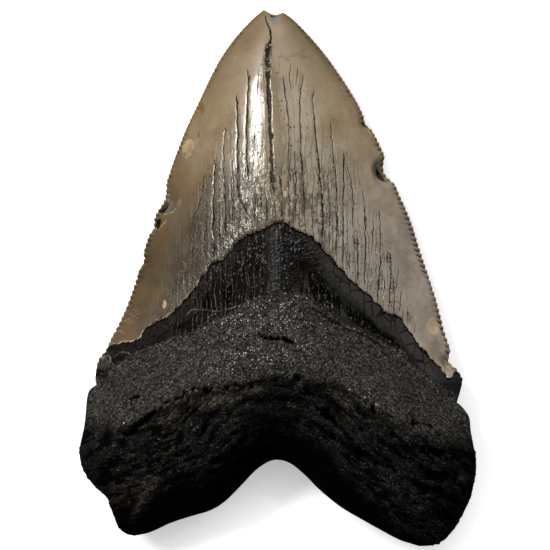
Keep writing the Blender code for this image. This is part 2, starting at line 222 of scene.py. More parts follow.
body = {
    # heights of the ridge and of the cutting edges, by y
    "ridge": [(-30, 17.4), (-4, 16.4), (7, 15.6), (14, 14.7), (22, 13.3), (29, 11.8), (37, 9.7),
              (44, 7.2), (49.7, 4.4)],
    "rim": [(-50, 7.4), (-38, 8.6), (-26, 7.8), (-18, 5.6), (-10, 3.6), (0, 2.5), (20, 2.1),
            (50, 2.5)],
    "rimThickness": 0.3,
    "lensPower": 1.7,               # 2 would make the crown's section a parabola
    "ridgeRounding": 0.2,
    "borderWidth": (6.5, 10.5),     # the smooth border of the crown ends over this stretch
    "borderStep": 0.18,
    "enamelStep": 0.45,             # how far the enamel stands above the bourlette
    "enamelJag": 0.28,
    "rootTop": 21.0,
    "lobeDrop": 4.4,                # out towards the lobes, and down to their ends
    "lobeEndDrop": 2.6,
    "rootRise": (-0.8, 12.5),       # the root takes over from the crown over this stretch
    "sideRounding": 7.5,
    "crestSharpness": 1.2,          # 2 and 0.5 would make the fall a quarter circle
    "baseFullness": 0.56,
    "crestStep": 0.9,               # ragged ledge just below the crest
    "lumpSize": 7.0,
    "lumpHeight": 0.45,
    "neckLip": 0.16,                # raised edge of the root along the bourlette's right hollow
}


def lensShare(lateral):  # crown's section: 1 on the ridge, 0 at the cutting edges
    def rounded(side):
        return (side * side + body["ridgeRounding"] ** 2) ** (body["lensPower"] / 2)
    return 1 - (rounded(lateral) - rounded(0)) / (rounded(1) - rounded(0))


cracks = {
    "wander": 0.12,
    "shoulder": 0.42,       # how far out a crack's rounded lips reach
    "lipDepth": 0.06,
    "wider": (11.5, 1.25),  # right of this x every crack is wider by this factor
    "far": 9.0,             # the gap where no crack is near
    # half width, depth and course of each crack
    "lines": [
        (0.25, 0.38, [(-2.5, 49.0), (-2.2, 47.6), (-1.5, 46.1), (-1.2, 44.6), (-1.5, 43.5),
                      (-1.8, 42.0), (-1.9, 39.7), (-1.8, 36.8), (-1.7, 33.0), (-1.5, 29.3),
                      (-1.3, 25.6), (-1.2, 21.9), (-1.1, 19.4), (-1.0, 17.4), (-0.6, 15.6)]),
        (0.09, 0.17, [(-5.7, 39.0), (-5.4, 36.8), (-5.6, 33.0), (-5.7, 29.3), (-5.7, 23.7),
                      (-5.6, 20.0), (-5.2, 17.6)]),
        (0.10, 0.19, [(-7.6, 34.2), (-7.5, 29.3), (-7.4, 23.7), (-7.5, 18.2), (-7.2, 15.2),
                      (-6.3, 13.0), (-5.4, 11.1)]),
        (0.07, 0.14, [(-9.7, 28.2), (-10.0, 23.7), (-10.1, 20.0), (-9.8, 16.3), (-9.7, 12.6),
                      (-9.7, 7.0)]),
        (0.09, 0.14, [(-11.6, 22.3), (-11.8, 18.2), (-11.9, 13.5), (-11.9, 8.9), (-11.7, 5.1),
                      (-11.9, 2.9)]),
        (0.06, 0.10, [(0.9, 37.5), (1.5, 33.0), (1.9, 29.3), (2.1, 25.6), (1.9, 21.9), (2.3, 17.8)]),
        (0.05, 0.06, [(2.3, 40.5), (2.2, 36.8), (2.4, 34.2)]),
        (0.05, 0.06, [(3.6, 39.4), (3.4, 34.9)]),
        (0.07, 0.14, [(4.8, 37.9), (4.1, 34.2), (4.0, 29.7), (4.3, 26.3), (4.2, 22.6), (4.7, 18.9),
                      (4.9, 13.7), (4.7, 11.8)]),
        (0.07, 0.14, [(6.9, 35.3), (6.4, 33.0), (6.8, 29.3), (7.0, 26.3), (7.5, 22.6), (7.8, 18.9),
                      (8.0, 15.2), (8.4, 10.7), (8.0, 5.1)]),
        (0.06, 0.13, [(9.6, 29.3), (10.1, 24.5), (10.6, 20.0), (10.8, 16.3), (11.0, 11.5),
                      (11.2, 6.6)]),
        (0.04, 0.06, [(12.5, 21.9), (13.4, 18.9), (13.8, 15.9), (14.2, 12.6)]),
        (0.045, 0.04, [(-3.5, 39.0), (-3.6, 36.0), (-3.7, 32.6)]),
        (0.04, 0.06, [(-4.4, 27.5), (-4.4, 22.8)]),
        (0.05, 0.06, [(-3.1, 18.5), (-3.0, 10.4)]),
        (0.05, 0.08, [(0.2, 20.0), (0.8, 14.8), (0.6, 10.0)]),
        (0.05, 0.06, [(3.0, 23.7), (3.4, 18.2), (3.2, 10.4)]),
        (0.05, 0.08, [(-2.2, 14.4), (-1.8, 10.0)]),
        (0.05, 0.06, [(-8.7, 19.1), (-8.4, 13.5), (-8.4, 9.2)]),
        (0.05, 0.06, [(-4.4, 16.3), (-4.1, 9.2)]),
        (0.04, 0.05, [(-13.6, 19.7), (-14.1, 15.4), (-14.7, 13.0), (-16.2, 10.4)]),
        (0.03, 0.04, [(-13.2, 14.4), (-13.4, 8.9), (-13.7, 2.9)]),
        (0.03, 0.04, [(-14.9, 12.2), (-15.0, 7.0), (-15.4, 0.3)]),
        (0.03, 0.04, [(-15.8, 7.0), (-16.0, 2.9), (-16.3, -1.9)]),
        (0.03, 0.04, [(-17.1, 2.9), (-17.3, -3.4)]),
        (0.03, 0.04, [(-18.2, 1.1), (-18.6, -4.2)]),
        (0.03, 0.04, [(-19.5, -0.1), (-19.9, -4.9)]),
        (0.03, 0.04, [(-12.6, 7.4), (-12.4, 2.9)]),
        (0.04, 0.05, [(-10.8, 14.4), (-10.8, 4.4)]),
        (0.055, 0.06, [(12.2, 23.7), (12.2, 16.3), (12.1, 7.7), (12.0, 2.0)]),
        (0.045, 0.06, [(13.3, 5.2), (13.2, 3.0), (13.1, 0.6)]),
        (0.03, 0.04, [(14.7, 21.9), (15.3, 16.7)]),
        (0.04, 0.04, [(15.8, 16.7), (15.9, 13.5), (16.4, 10.2), (16.9, 8.3)]),
        (0.09, 0.08, [(14.1, 7.6), (14.1, 6.8), (14.0, 5.8)]),
        (0.055, 0.06, [(14.7, 7.9), (14.8, 3.4), (14.8, -1.2)]),
        (0.06, 0.06, [(16.0, 13.6), (16.2, 9.0), (16.2, 3.4), (16.0, -1.9)]),
        (0.05, 0.05, [(17.8, 13.4), (17.6, 8.4), (17.3, 3.7)]),
        (0.045, 0.05, [(17.4, 2.2), (17.5, -0.6), (17.2, -3.2)]),
        (0.055, 0.06, [(18.8, 13.0), (19.0, 8.6), (19.0, 3.4)]),
        (0.085, 0.08, [(19.0, 4.4), (18.9, 1.0), (18.7, -1.2), (18.4, -4.5)]),
        (0.045, 0.05, [(20.2, 5.4), (20.3, 4.0), (20.2, 2.1)]),
        (0.060, 0.06, [(20.9, 5.0), (21.0, 1.6), (20.8, -1.6), (20.5, -5.8)]),
        (0.04, 0.04, [(19.7, 1.2), (19.8, -1.0), (19.6, -3.6)]),
        (0.055, 0.06, [(21.5, 0.2), (21.6, -2.6), (21.4, -6.8)]),
        (0.045, 0.05, [(22.3, 1.9), (22.2, -0.4), (22.1, -2.9)]),
        (0.060, 0.06, [(23.0, -1.8), (22.9, -3.4), (22.4, -6.9)]),
        (0.04, 0.04, [(23.9, -5.4), (24.0, -7.0), (23.8, -8.6)]),
        (0.04, 0.04, [(24.5, -6.2), (24.5, -7.8), (24.3, -9.4)]),
        (0.045, 0.04, [(25.7, -7.6), (25.6, -9.0), (25.2, -10.9)]),
        (0.05, 0.05, [(9.3, 20.0), (9.5, 12.6), (9.5, 5.2)]),
        (0.05, 0.05, [(10.9, 11.0), (10.8, 7.4), (10.8, 3.6)]),
        (0.04, 0.04, [(13.8, 14.2), (13.9, 10.2), (13.8, 8.6)]),
    ],
}


def crackFields(x, y):  # signed distance to the nearest crack, its half width, and the dip it makes
    gap, width, dip = np.full(len(x), cracks["far"]), np.zeros(len(x)), np.zeros(len(x))
    widerFrom, wider = cracks["wider"]
    for number, (halfWidth, depth, points) in enumerate(cracks["lines"]):
        xs, ys = np.array(points[::-1]).T
        middle = np.interp(y, ys, xs) + cracks["wander"] * lumps(y, 0 * y, 0.9, seed=40 + number)
        reach = ease(y, ys[0] - 0.4, ys[0] + 1.6) * ease(y, ys[-1] + 0.4, ys[-1] - 1.6)
        local = halfWidth * (wider if xs[0] > widerFrom else 1) * reach
        local = local * (0.85 + 0.35 * lumps(y, 0 * y, 1.7, seed=90 + number))
        if number == 0:  # the long fissure is a hair at the tip and opens wide below it
            local = local * (0.42 + 0.58 * ease(y, 45, 43) + np.exp(-(((y - 40.6) / 2.0) ** 2)))
        side = x - middle
        closer = (np.abs(side) < np.abs(gap)) & (reach > 0)
        gap = np.where(closer, side, gap)
        width = np.where(closer, local, width)
        core = np.exp(-((side / np.maximum(local, 0.02)) ** 2))
        lip = np.exp(-((side / cracks["shoulder"]) ** 2))
        dip = dip + reach * (depth * core + cracks["lipDepth"] * lip * depth / 0.35)
    return gap, width, dip


damage = {
    # bites out of the rim: x, y, reach, depth, way in degrees, scoop of the face beside it
    "bites": [
        (-0.6, 50.0, 2.0, 0.75, 270, 0.5),
        (-21.4, 14.8, 3.2, 0.7, 335, 0.7),
        (-23.3, 9.2, 1.6, 0.45, 340, 0.5),
        (-25.4, 3.0, 1.8, 0.45, 340, 0.2),
        (16.4, 28.6, 1.5, 0.4, 205, 0.2),
        (20.3, 19.8, 3.0, 1.3, 200, 0.7),
        (32.0, -15.6, 1.8, 0.5, 200, 0.3),
    ],
    # hollows chipped out of the face: x, y, half length, half width, slant, depth
    "chips": [
        (-0.5, 47.9, 1.3, 1.0, 80, 0.45),
        (-20.9, 13.6, 1.9, 0.9, 75, 0.45),
        (-18.3, 14.2, 1.5, 1.0, 75, 0.10),
        (-22.4, 10.2, 1.4, 0.7, 60, 0.35),
        (19.3, 19.6, 2.4, 1.2, 118, 0.45),
        (16.2, 28.6, 0.8, 0.5, 120, 0.25),
        (-16.9, 23.9, 2.2, 1.3, 70, 0.20),
        (28.9, -9.0, 1.9, 1.5, 95, 0.16),
        (29.8, -12.6, 1.8, 1.6, 100, 0.18),
    ],
    # painted ovals, in the same order but for the depth
    "marks": {
        "tan": [(-16.7, 24.0, 2.1, 1.25, 72), (28.8, -9.0, 1.8, 1.4, 100), (32.4, -16.3, 0.8, 0.6, 40),
                (17.5, 26.8, 0.8, 0.4, 130), (-21.0, -4.9, 0.9, 0.36, 85)],
        "amber": [(-21.6, 11.2, 1.4, 0.6, 15), (30.4, -8.0, 0.5, 0.4, 0), (30.4, -9.8, 0.6, 0.4, 0),
                  (30.2, -7.0, 0.4, 0.3, 0), (-18.2, 25.2, 0.4, 0.4, 0), (-18.9, 23.3, 0.5, 0.4, 0)],
        "grey": [(-18.3, 13.9, 1.0, 0.7, 75), (18.4, 20.6, 1.5, 1.3, 90),
                 (29.7, -12.6, 1.9, 1.7, 100), (31.0, -15.4, 2.0, 1.2, 135),
                 (-17.5, 22.9, 0.9, 0.5, 75)],
        # dark: black in the bites, partly their own dark and partly painted shade of the steep walls
        "dark": [(-21.5, 13.1, 1.8, 0.8, 65), (-22.4, 10.1, 1.3, 0.7, 60), (19.9, 19.4, 1.9, 0.8, 125),
                 (16.3, 28.6, 0.7, 0.35, 125), (-0.95, 49.0, 0.8, 0.4, 0)],
        "slate": [(-0.75, 48.1, 1.1, 0.95, 90), (-20.4, 13.6, 1.7, 0.6, 76),
                  (18.6, 20.3, 1.2, 0.9, 100)],
        # dust: paler patches of the root, partly painted light on the lit ridge of the left lobe
        "dust": [(34.0, -37.6, 2.6, 1.5, 70), (-10.6, -22.4, 5.5, 2.2, 20), (-4.6, -20.6, 3.0, 1.2, 10),
                 (-24.2, -40.8, 6.5, 1.7, 57), (-20.5, -25.5, 3.5, 1.2, 40),
                 (12.0, -22.8, 3.5, 1.0, -35)],
        "rust": [(-29.3, -39.0, 3.6, 2.2, 75), (-18.0, -24.0, 3.0, 1.0, 30),
                 (-12.0, -21.5, 2.5, 0.8, 10)],
        "shade": [(-32.3, -17.9, 1.7, 1.1, 60), (-31.6, -29.6, 3.8, 2.4, 80),
                  (-32.2, -37.5, 4.5, 1.5, 115), (-18.5, -39.0, 5.0, 3.2, 35),
                  (-1.5, -26.5, 10.5, 6.0, 5), (8.0, -33.0, 7.0, 4.0, -45)],
        "stain": [(3.0, 41.3, 1.5, 0.55, 15), (4.8, 41.0, 0.5, 1.0, 80), (1.7, 40.4, 0.5, 0.9, 90),
                  (-14.1, 31.5, 0.5, 1.5, 10), (-14.7, 26.5, 0.5, 0.7, 0), (-15.4, 16.9, 0.5, 0.4, 0),
                  (4.5, 42.2, 0.8, 0.3, 30)],
    },
    # pits and hollows of the root; a negative depth is a swelling
    "hollows": [
        (3.9, -18.5, 1.3, 0.9, -15, 1.9),
        (-32.2, -29.6, 3.6, 2.4, 80, 1.3),
        (-31.6, -36.6, 5.0, 1.8, 98, 1.1),
        (-24.6, -40.6, 7.0, 2.4, 57, -1.2),
        (-11.3, -33.9, 1.5, 1.0, 25, 1.2),
        (-11.0, -35.0, 2.0, 0.7, 25, -0.5),
        (0.2, -23.4, 6.2, 2.4, 0, 1.2),
        (10.8, -25.6, 3.6, 1.1, -40, 0.9),
        (15.8, -27.7, 0.7, 0.6, 0, 0.8),
        (22.0, -30.0, 6.0, 1.6, -32, -0.5),
        (31.0, -39.5, 5.5, 4.0, 100, -0.5),
        (34.0, -21.6, 2.0, 1.2, 120, 0.8),
        (-33.0, -20.6, 2.6, 1.4, 50, 0.9),
    ],
    "creviceJag": 0.5,
    "creviceLip": 0.12,
    "creviceFar": 2.0,      # the distance given where no crevice is near
    # half width, depth and course of each crevice of the root
    "crevices": [
        (0.46, 1.30, [(-3.6, -10.7), (-1.2, -11.3), (0.6, -11.2), (3.1, -12.2)]),
        (0.30, 0.80, [(-3.9, -20.0), (-6.6, -20.0), (-8.3, -19.8)]),
        (0.50, 1.10, [(-7.9, -19.8), (-10.2, -20.1)]),
        (0.32, 0.70, [(-10.0, -20.2), (-12.9, -20.6), (-14.8, -20.5), (-16.6, -21.1)]),
        (0.40, 0.95, [(-16.4, -21.0), (-18.1, -22.2), (-19.6, -22.8), (-21.9, -24.3)]),
        (0.62, 1.40, [(-21.7, -24.2), (-23.9, -25.5), (-25.6, -27.3), (-28.2, -28.7)]),
        (0.30, 0.60, [(-14.2, -23.0), (-15.9, -23.9), (-18.3, -25.3)]),
        (0.34, 0.70, [(-18.7, -28.3), (-20.8, -29.5), (-23.0, -30.6)]),
        (0.28, 0.50, [(-27.5, -22.5), (-25.4, -21.7)]),
        (0.28, 0.50, [(-13.0, -28.0), (-17.0, -30.3), (-20.2, -33.4)]),
        (0.28, 0.60, [(11.9, -20.1), (12.7, -20.7), (13.8, -21.3), (15.2, -22.1), (16.4, -22.9)]),
        (0.48, 1.10, [(16.2, -22.7), (17.4, -23.9), (18.4, -24.7)]),
        (0.24, 0.45, [(18.3, -24.6), (19.6, -25.2), (22.0, -26.3)]),
        (0.48, 1.10, [(24.2, -25.8), (25.2, -26.7), (26.2, -27.0)]),
        (0.26, 0.60, [(26.1, -27.0), (28.3, -27.7), (30.4, -29.0)]),
        (0.55, 1.00, [(7.3, -23.7), (8.9, -25.2), (10.2, -26.1), (11.8, -27.7)]),
        (0.32, 0.90, [(9.2, -29.3), (11.6, -30.2), (13.0, -30.8), (14.6, -31.6)]),
        (0.64, 1.40, [(14.2, -31.4), (15.6, -32.3), (17.0, -33.1)]),
        (0.34, 0.80, [(16.8, -33.0), (18.2, -34.1), (19.7, -34.8), (22.2, -35.9)]),
        (0.28, 0.60, [(20.3, -28.2), (22.7, -30.0), (24.6, -31.1), (26.4, -31.3)]),
        (0.28, 0.65, [(26.4, -31.3), (28.7, -32.1), (30.2, -33.0), (32.2, -33.6)]),
        (0.30, 0.60, [(21.0, -32.3), (23.1, -33.0), (24.9, -33.7), (26.6, -34.8)]),
        (0.42, 0.90, [(5.2, -20.6), (7.0, -21.9)]),
        (0.50, 0.80, [(15.1, -27.5), (16.6, -28.3)]),
        (0.28, 0.50, [(32.8, -38.2), (35.0, -39.9)]),
    ],
}


def creviceFields(x, y):  # ragged clefts, with one lip raised
    dip, slit = np.zeros(len(x)), np.full(len(x), damage["creviceFar"])
    jag = damage["creviceJag"]
    wx = x + jag * (lumps(x, y, 1.3, seed=61) + 0.6 * lumps(x, y, 0.6, seed=62))
    wy = y + jag * (lumps(x, y, 1.3, seed=63) + 0.6 * lumps(x, y, 0.6, seed=64))
    for halfWidth, depth, points in damage["crevices"]:
        line = smoothCurve(points, 3)
        near = closeTo(line, x, y, 2)
        nx, ny = wx[near], wy[near]
        gap = distanceTo(line, np.stack([nx, ny], -1))
        end = np.minimum(np.hypot(nx - line[0, 0], ny - line[0, 1]),
                         np.hypot(nx - line[-1, 0], ny - line[-1, 1]))
        local = halfWidth * (0.35 + 0.65 * ease(end, 0, 1.6)) * (0.8 + 0.5 * lumps(nx, ny, 1.9, seed=65))
        core = np.clip(1.6 - 1.6 * gap / np.maximum(local, 0.16), 0, 1)
        lip = np.exp(-(((gap - 1.7 * local) / (0.8 * local)) ** 2))
        if line[0, 0] > line[-1, 0]:
            line = line[::-1]
        below = ease(np.interp(nx, line[:, 0], line[:, 1]) - ny, -0.2, 0.3)
        dip[near] = np.maximum(dip[near], depth * core) - damage["creviceLip"] * depth * lip * below
        slit[near] = np.minimum(slit[near], gap - 0.95 * local)
    return dip, slit


bourlette = {
    "hollowDepth": 0.7,
    "leftShare": 0.35,      # the left hollow's depth beside the right one's
    "veinFar": 3.0,         # the distance given where no vein is near
    # how far down from the enamel to the neck the hollow starts, by x
    "hollowTop": [(-23, 0.72), (-20, 0.62), (-17, 0.5), (-13, 0.33), (-8, 0.33), (-4, 0.4), (3, 0.42),
                  (14, 0.42), (19, 0.6), (23, 0.76), (27, 0.85)],
    # thin lines: pale mineral veins on the bourlette; on the enamel, a dark scratch on the right and the
    # lips of the left bite, painted as a highlight
    "veins": [
        [(-16.8, -6.8), (-16.0, -6.0), (-14.1, -5.9), (-11.1, -6.2), (-8.9, -5.7), (-6.7, -4.9)],
        [(-32.7, -15.0), (-31.9, -14.4), (-31.1, -14.8), (-31.1, -15.6), (-30.2, -16.3)],
        [(-30.5, -14.6), (-29.0, -13.8), (-27.5, -14.2), (-27.9, -15.3), (-29.4, -15.7)],
        [(7.1, -4.7), (9.3, -6.5), (11.7, -7.9), (13.8, -9.1), (16.6, -10.9)],
        [(13.8, 7.8), (15.4, 7.8), (17.1, 8.1)],
        [(-18.9, 12.9), (-19.6, 12.2), (-20.8, 11.8), (-22.2, 12.0)],
        [(-22.7, 8.5), (-21.6, 9.6), (-20.7, 10.6)],
    ],
}


def bourletteDip(x, belowEnamel, belowNeck):  # the hollow above the neck, narrowing outwards
    share = np.clip(belowEnamel / np.maximum(belowEnamel - belowNeck, 0.1), 0, 1)
    top = np.interp(x, *np.array(bourlette["hollowTop"]).T)
    trough = np.sin(math.pi * np.clip((share - top) / (1.02 - top), 0, 1) ** 0.9)
    flank = ease(x, 1.5, 6) * ease(x, 26, 21)
    flank = flank + bourlette["leftShare"] * ease(x, -2, -6) * ease(x, -23, -18)
    return bourlette["hollowDepth"] * trough * flank * (1 + 0.5 * lumps(x, belowEnamel, 1.8, seed=21))


def lineGap(x, y):  # distance to the nearest of the thin lines
    gap = np.full(len(x), bourlette["veinFar"])
    for points in bourlette["veins"]:
        line = smoothCurve(points, 4)
        near = closeTo(line, x, y, 1)
        gap[near] = np.minimum(gap[near], distanceTo(line, np.stack([x[near], y[near]], -1)))
    return gap


def frontHeight(x, y, inset, zones):  # the domed lingual face
    rim = readTable(body["rim"], y) + body["rimThickness"] / 2
    lens = lensShare((inset[0] - inset[1]) / (inset[0] + inset[1]))
    onEnamel = ease(zones["belowEnamel"], 0.12, -0.12)
    crown = rim + (readTable(body["ridge"], y) - rim) * lens
    crown = crown + body["enamelStep"] * onEnamel * ease(lens, 0, 0.3)
    crown = crown - body["borderStep"] * ease(zones["rimInset"], *body["borderWidth"]) * ease(y, 44, 36)
    crown = crown - zones["crackDip"] * onEnamel
    crown = crown - bourletteDip(x, zones["belowEnamel"], zones["belowNeck"]) * (1 - onEnamel)
    lip = np.exp(-(((zones["belowNeck"] - 0.1) / 0.28) ** 2)) * ease(x, 5, 9) * ease(x, 28, 24)

    crest = body["rootTop"] - body["lobeDrop"] * np.abs(x / 36) ** 1.8
    crest = crest - body["lobeEndDrop"] * ease(y, -28, -48)
    crest = crest + body["lumpHeight"] * lumps(x, y, body["lumpSize"], seed=3)
    fall = np.maximum(dropBelow("crest", x, y), 0)
    share = inset[2] / (inset[2] + fall + 1e-6)
    slope = (1 - (1 - share) ** body["crestSharpness"]) ** body["baseFullness"]
    sides = dome(np.minimum(inset[0], inset[1]) / body["sideRounding"])
    root = rim + (crest - rim) * slope * sides
    ragged = 0.7 * lumps(x, y, 2.2, seed=31) + 0.5 * lumps(x, y, 0.9, seed=32)
    ledge = ease(fall + ragged, 0.2, 1.5) * ease(fall, 11, 4) * ease(x, 24, 14) * ease(x, -33, -27)
    root = root - body["crestStep"] * ledge * ease(inset[2], 1.5, 5) * sides
    root = root - zones["rootDip"] * ease(inset[2], 0.2, 2.5) * sides
    return crown + (root - crown) * ease(zones["neckDrop"], *body["rootRise"]) + body["neckLip"] * lip


labial = {
    "flat": [(36, 0.0), (43, 0.5), (50, 1.7)],  # height by y: it bends up at the tip
    "rounding": 9.0,
    "step": 0.5,
    "waves": 0.25,
    "hollow": (0, -21.0, 17, 9, 0, 1.6),    # x, y, half length, half width, slant, depth
    # x, y and radius of the places that touch the table
    "bearings": [(0.0, 12.0, 9.0), (-24.5, -35.5, 4.0), (25.0, -37.0, 4.0)],
}


def backHeight(x, y, inset, zones):  # the flat labial face, rounded up to the sides
    rim = readTable(body["rim"], y) - body["rimThickness"] / 2
    share = np.clip(nearest(inset, labial["rounding"]), 0, 1)
    below = zones["belowEnamel"]
    flat = np.interp(y, *np.array(labial["flat"]).T)
    flat = flat + labial["step"] * ease(below, -0.3, 0.3) * ease(below, 11, 4)
    flat = flat + labial["hollow"][5] * blob(x, y, labial["hollow"])
    flat = flat + labial["waves"] * np.clip(lumps(x, y, 9.0, seed=5) + 0.2, 0, 1)
    for bx, by, radius in labial["bearings"]:
        flat = flat * ease(np.hypot(x - bx, y - by), radius, radius + 4)
    bevel = 1 - (1 - share) ** 2.4
    return rim - (rim - flat) * (bevel + (dome(share) - bevel) * ease(below, -2, 6))


def markZones(x, y, upper, inset):  # what the shape, the geometry nodes and the materials read
    belowFront = belowCurve("enamel", x, y)
    jag = body["enamelJag"] * (lumps(x, y, 1.1, seed=11) + 0.6 * lumps(x, y, 0.5, seed=12))
    belowBack = belowCurve("labialEnamel", x, y) + 0.5 * jag
    neckFront = belowCurve("neck", x, y)
    gap, width, dip = crackFields(x, y)
    marks = {name: upper * np.max([blob(x, y, spot) for spot in spots], axis=0)
             for name, spots in damage["marks"].items()}
    crevice, slit = creviceFields(x, y)
    crevice = crevice * upper
    hollow = sum(spot[5] * blob(x, y, spot) for spot in damage["hollows"]) * upper
    return {
        "belowEnamel": np.where(upper, belowFront + jag, belowBack),
        "belowNeck": np.where(upper, neckFront, belowBack - 1.2),
        "neckDrop": dropBelow("neck", x, y),
        "rimInset": np.minimum(inset[0], inset[1]),
        "baseInset": inset[2],
        "crackGap": np.where(upper, gap, cracks["far"]),
        "crackWidth": np.where(upper, width, 0.0),
        "crackDip": dip,
        **marks,
        "hollow": bourletteDip(x, belowFront + jag, neckFront) * upper,
        "rootDip": crevice + hollow,
        "pit": np.clip(crevice + 0.22 * hollow, 0, 2),
        "lineGap": np.where(upper, lineGap(x, y), bourlette["veinFar"]),
        "slit": np.where(upper, slit, damage["creviceFar"]),
    }


def bite(x, y, z):  # pulls the rim inwards at each bite
    for bx, by, reach, depth, way, scoop in damage["bites"]:
        pull = np.clip(1 - ((x - bx) ** 2 + (y - by) ** 2) / reach**2, 0, 1) ** 1.5
        x = x + depth * pull * math.cos(math.radians(way))
        y = y + depth * pull * math.sin(math.radians(way))
        z = z - scoop * pull * ease(z - readTable(body["rim"], y), 0.2, 1.2)
    return x, y, z


def spreadColumns(share, down):  # finer at the cutting edges, and in the root round its sides
    blade = np.interp(share, [0, 0.03, 0.16, 0.84, 0.97, 1], [0, 0.02, 0.13, 0.87, 0.98, 1])
    edge = np.minimum(share, 1 - share)
    reach = meshing["roundedEdge"]
    rounded = np.where(edge < reach, reach * (1 - np.cos(edge / reach * math.pi / 2)), edge)
    rounded = np.where(share > 0.5, 1 - rounded, rounded)
    below = ease(down, meshing["join"] - 0.05, meshing["join"] + 0.12)
    return blade * (1 - below) + rounded * below


def spreadRows(share):  # closer together towards the base
    rows = share * (meshing["crownRows"] + meshing["rootRows"])
    root = np.clip((rows - meshing["crownRows"]) / meshing["rootRows"], 0, 1)
    rootShare = np.sin(root * math.pi / 2) ** 0.92
    crownShare = meshing["join"] * rows / meshing["crownRows"]
    return np.where(root > 0, meshing["join"] + (1 - meshing["join"]) * rootShare, crownShare)


def makeSlab():  # a unit slab of quads, one cell thick, fine at the cutting edges, coarse behind
    columns, rows = meshing["columns"], meshing["crownRows"] + meshing["rootRows"]
    bm = bmesh.new()
    bmesh.ops.create_grid(bm, x_segments=columns, y_segments=rows, size=0.5)
    bmesh.ops.translate(bm, verts=bm.verts, vec=(0.5, 0.5, 0))
    raised = bmesh.ops.extrude_face_region(bm, geom=bm.faces[:], use_keep_orig=True)
    top = [v for v in raised["geom"] if isinstance(v, bmesh.types.BMVert)]
    bmesh.ops.translate(bm, verts=top, vec=(0, 0, 1))

    def place(edge):  # column and row of the edge's middle, its direction, and whether it is behind
        a, b = edge.verts[0].co, edge.verts[1].co
        return (a.x + b.x) / 2 * columns, (a.y + b.y) / 2 * rows, b - a, max(a.z, b.z) < 0.5

    border, step = meshing["rimColumns"], meshing["backStep"]
    coarse = []
    for edge in bm.edges:
        column, row, way, behind = place(edge)
        if not behind or min(column, columns - column) < border or not border < row < rows - border:
            continue
        line = row if abs(way.x) > abs(way.y) else column
        if round(line) % step:
            coarse.append(edge)
    bmesh.ops.dissolve_edges(bm, edges=coarse, use_verts=True)

    fine = []
    for edge in bm.edges:
        column, row, way, behind = place(edge)
        atRim = min(column, columns - column) < border - 0.5
        if abs(way.y) > 0 and atRim and row < meshing["crownRows"]:
            fine.append(edge)
    bmesh.ops.subdivide_edges(bm, edges=fine, cuts=meshing["rimCuts"], use_grid_fill=True,
                              use_single_edge=True)
    bmesh.ops.triangulate(bm, faces=[f for f in bm.faces if len(f.verts) > 4])
    return bm


serrations = {
    # spacing along the cutting edge, by height: finer towards the tip
    "pitch": [(-16, 1.12), (0, 1.02), (25, 0.92), (48, 0.8)],
    "weak": 0.45,           # how weak the faintest of them are
    "slantIn": (0.9, -0.35),        # the way a notch is cut into the edge: inwards and down
}


def serrationPhase(down):  # how many serrations lie between the tip and this row
    curve = curves["leftBlade"]
    run = runLength(curve)
    count = np.concatenate([[0], np.cumsum(np.diff(run) / readTable(serrations["pitch"], curve[1:, 1]))])
    return np.interp(np.clip(down / meshing["join"], 0, 1), run / run[-1], count)


def addToScene(name, data):
    piece = bpy.data.objects.new(name, data)
    bpy.context.scene.collection.objects.link(piece)
    return piece


def addField(mesh, name, values, kind="FLOAT"):
    field = mesh.attributes.new(name, kind, "POINT")
    field.data.foreach_set("vector" if kind == "FLOAT_VECTOR" else "value", np.ravel(values).astype("f"))


def makeToothMesh():
    bm = makeSlab()
    slab = np.array([v.co for v in bm.verts])
    down = spreadRows(slab[:, 1])
    across = spreadColumns(slab[:, 0], down)
    upper = slab[:, 2] > 0.5
    x, y = planPoint(across, down).T
    inset = insets(x, y)
    zones = markZones(x, y, upper, inset)
    z = np.where(upper, frontHeight(x, y, inset, zones), backHeight(x, y, inset, zones))
    for spot in damage["chips"]:
        chipped = np.where(upper, spot[5] * blob(x, y, spot), 0)
        z = z - chipped * ease(z - readTable(body["rim"], y), 0.2, 1)
    x, y, z = bite(x, y, z)
    for vertex, point in zip(bm.verts, np.stack([x, y, z], -1) * mm):
        vertex.co = point
    bm.normal_update()
    bmesh.ops.recalc_face_normals(bm, faces=bm.faces)
    mesh = bpy.data.meshes.new("fossilTooth")
    bm.to_mesh(mesh)
    bm.free()
    mesh.shade_smooth()

    side = np.where(across < 0.5, 1.0, -1.0)
    inwards, drop = serrations["slantIn"]
    addField(mesh, "inward", np.stack([side * inwards, drop + 0 * side, 0 * side], -1), "FLOAT_VECTOR")
    addField(mesh, "serrationPhase", serrationPhase(down) + np.where(across < 0.5, 0.0, 0.4))
    fade = ease(down, 0.004, 0.04) * ease(down, 0.59, 0.55) * (0.62 + 0.38 * ease(y, 30, 5))
    addField(mesh, "serrationFade", fade)
    addField(mesh, "layerMask", ease(dropBelow("crest", x, y), -1.5, 2.5) * upper)
    addField(mesh, "layerRun", x)
    for name in ("belowEnamel", "belowNeck", "rimInset", "baseInset", "crackGap", "crackWidth", "hollow",
                 "pit", "lineGap", "slit", *damage["marks"]):
        addField(mesh, name, zones[name])
    print("mesh:", len(mesh.vertices), "points")
    return mesh


bench = {}  # the node tree being built


class Wire:  # a node's output, which can be added, multiplied and so on as a number can
    def __init__(self, socket):
        self.socket = socket

    def __getitem__(self, name):  # another output of the same node
        return Wire(self.socket.node.outputs[name])

    def __add__(self, other):
        return calc("ADD", self, other)

    def __sub__(self, other):
        return calc("SUBTRACT", self, other)

    def __rsub__(self, other):
        return calc("SUBTRACT", other, self)

    def __mul__(self, other):
        return calc("MULTIPLY", self, other)

    def __truediv__(self, other):
        return calc("DIVIDE", self, other)

    def __rtruediv__(self, other):
        return calc("DIVIDE", other, self)

    def __pow__(self, other):
        return calc("POWER", self, other)

    def __abs__(self):
        return calc("ABSOLUTE", self)


def feed(socket, value):  # links a wire, and sets anything else as the socket's own value
    if isinstance(value, Wire):
        socket.id_data.links.new(value.socket, socket)
    else:
        socket.default_value = value


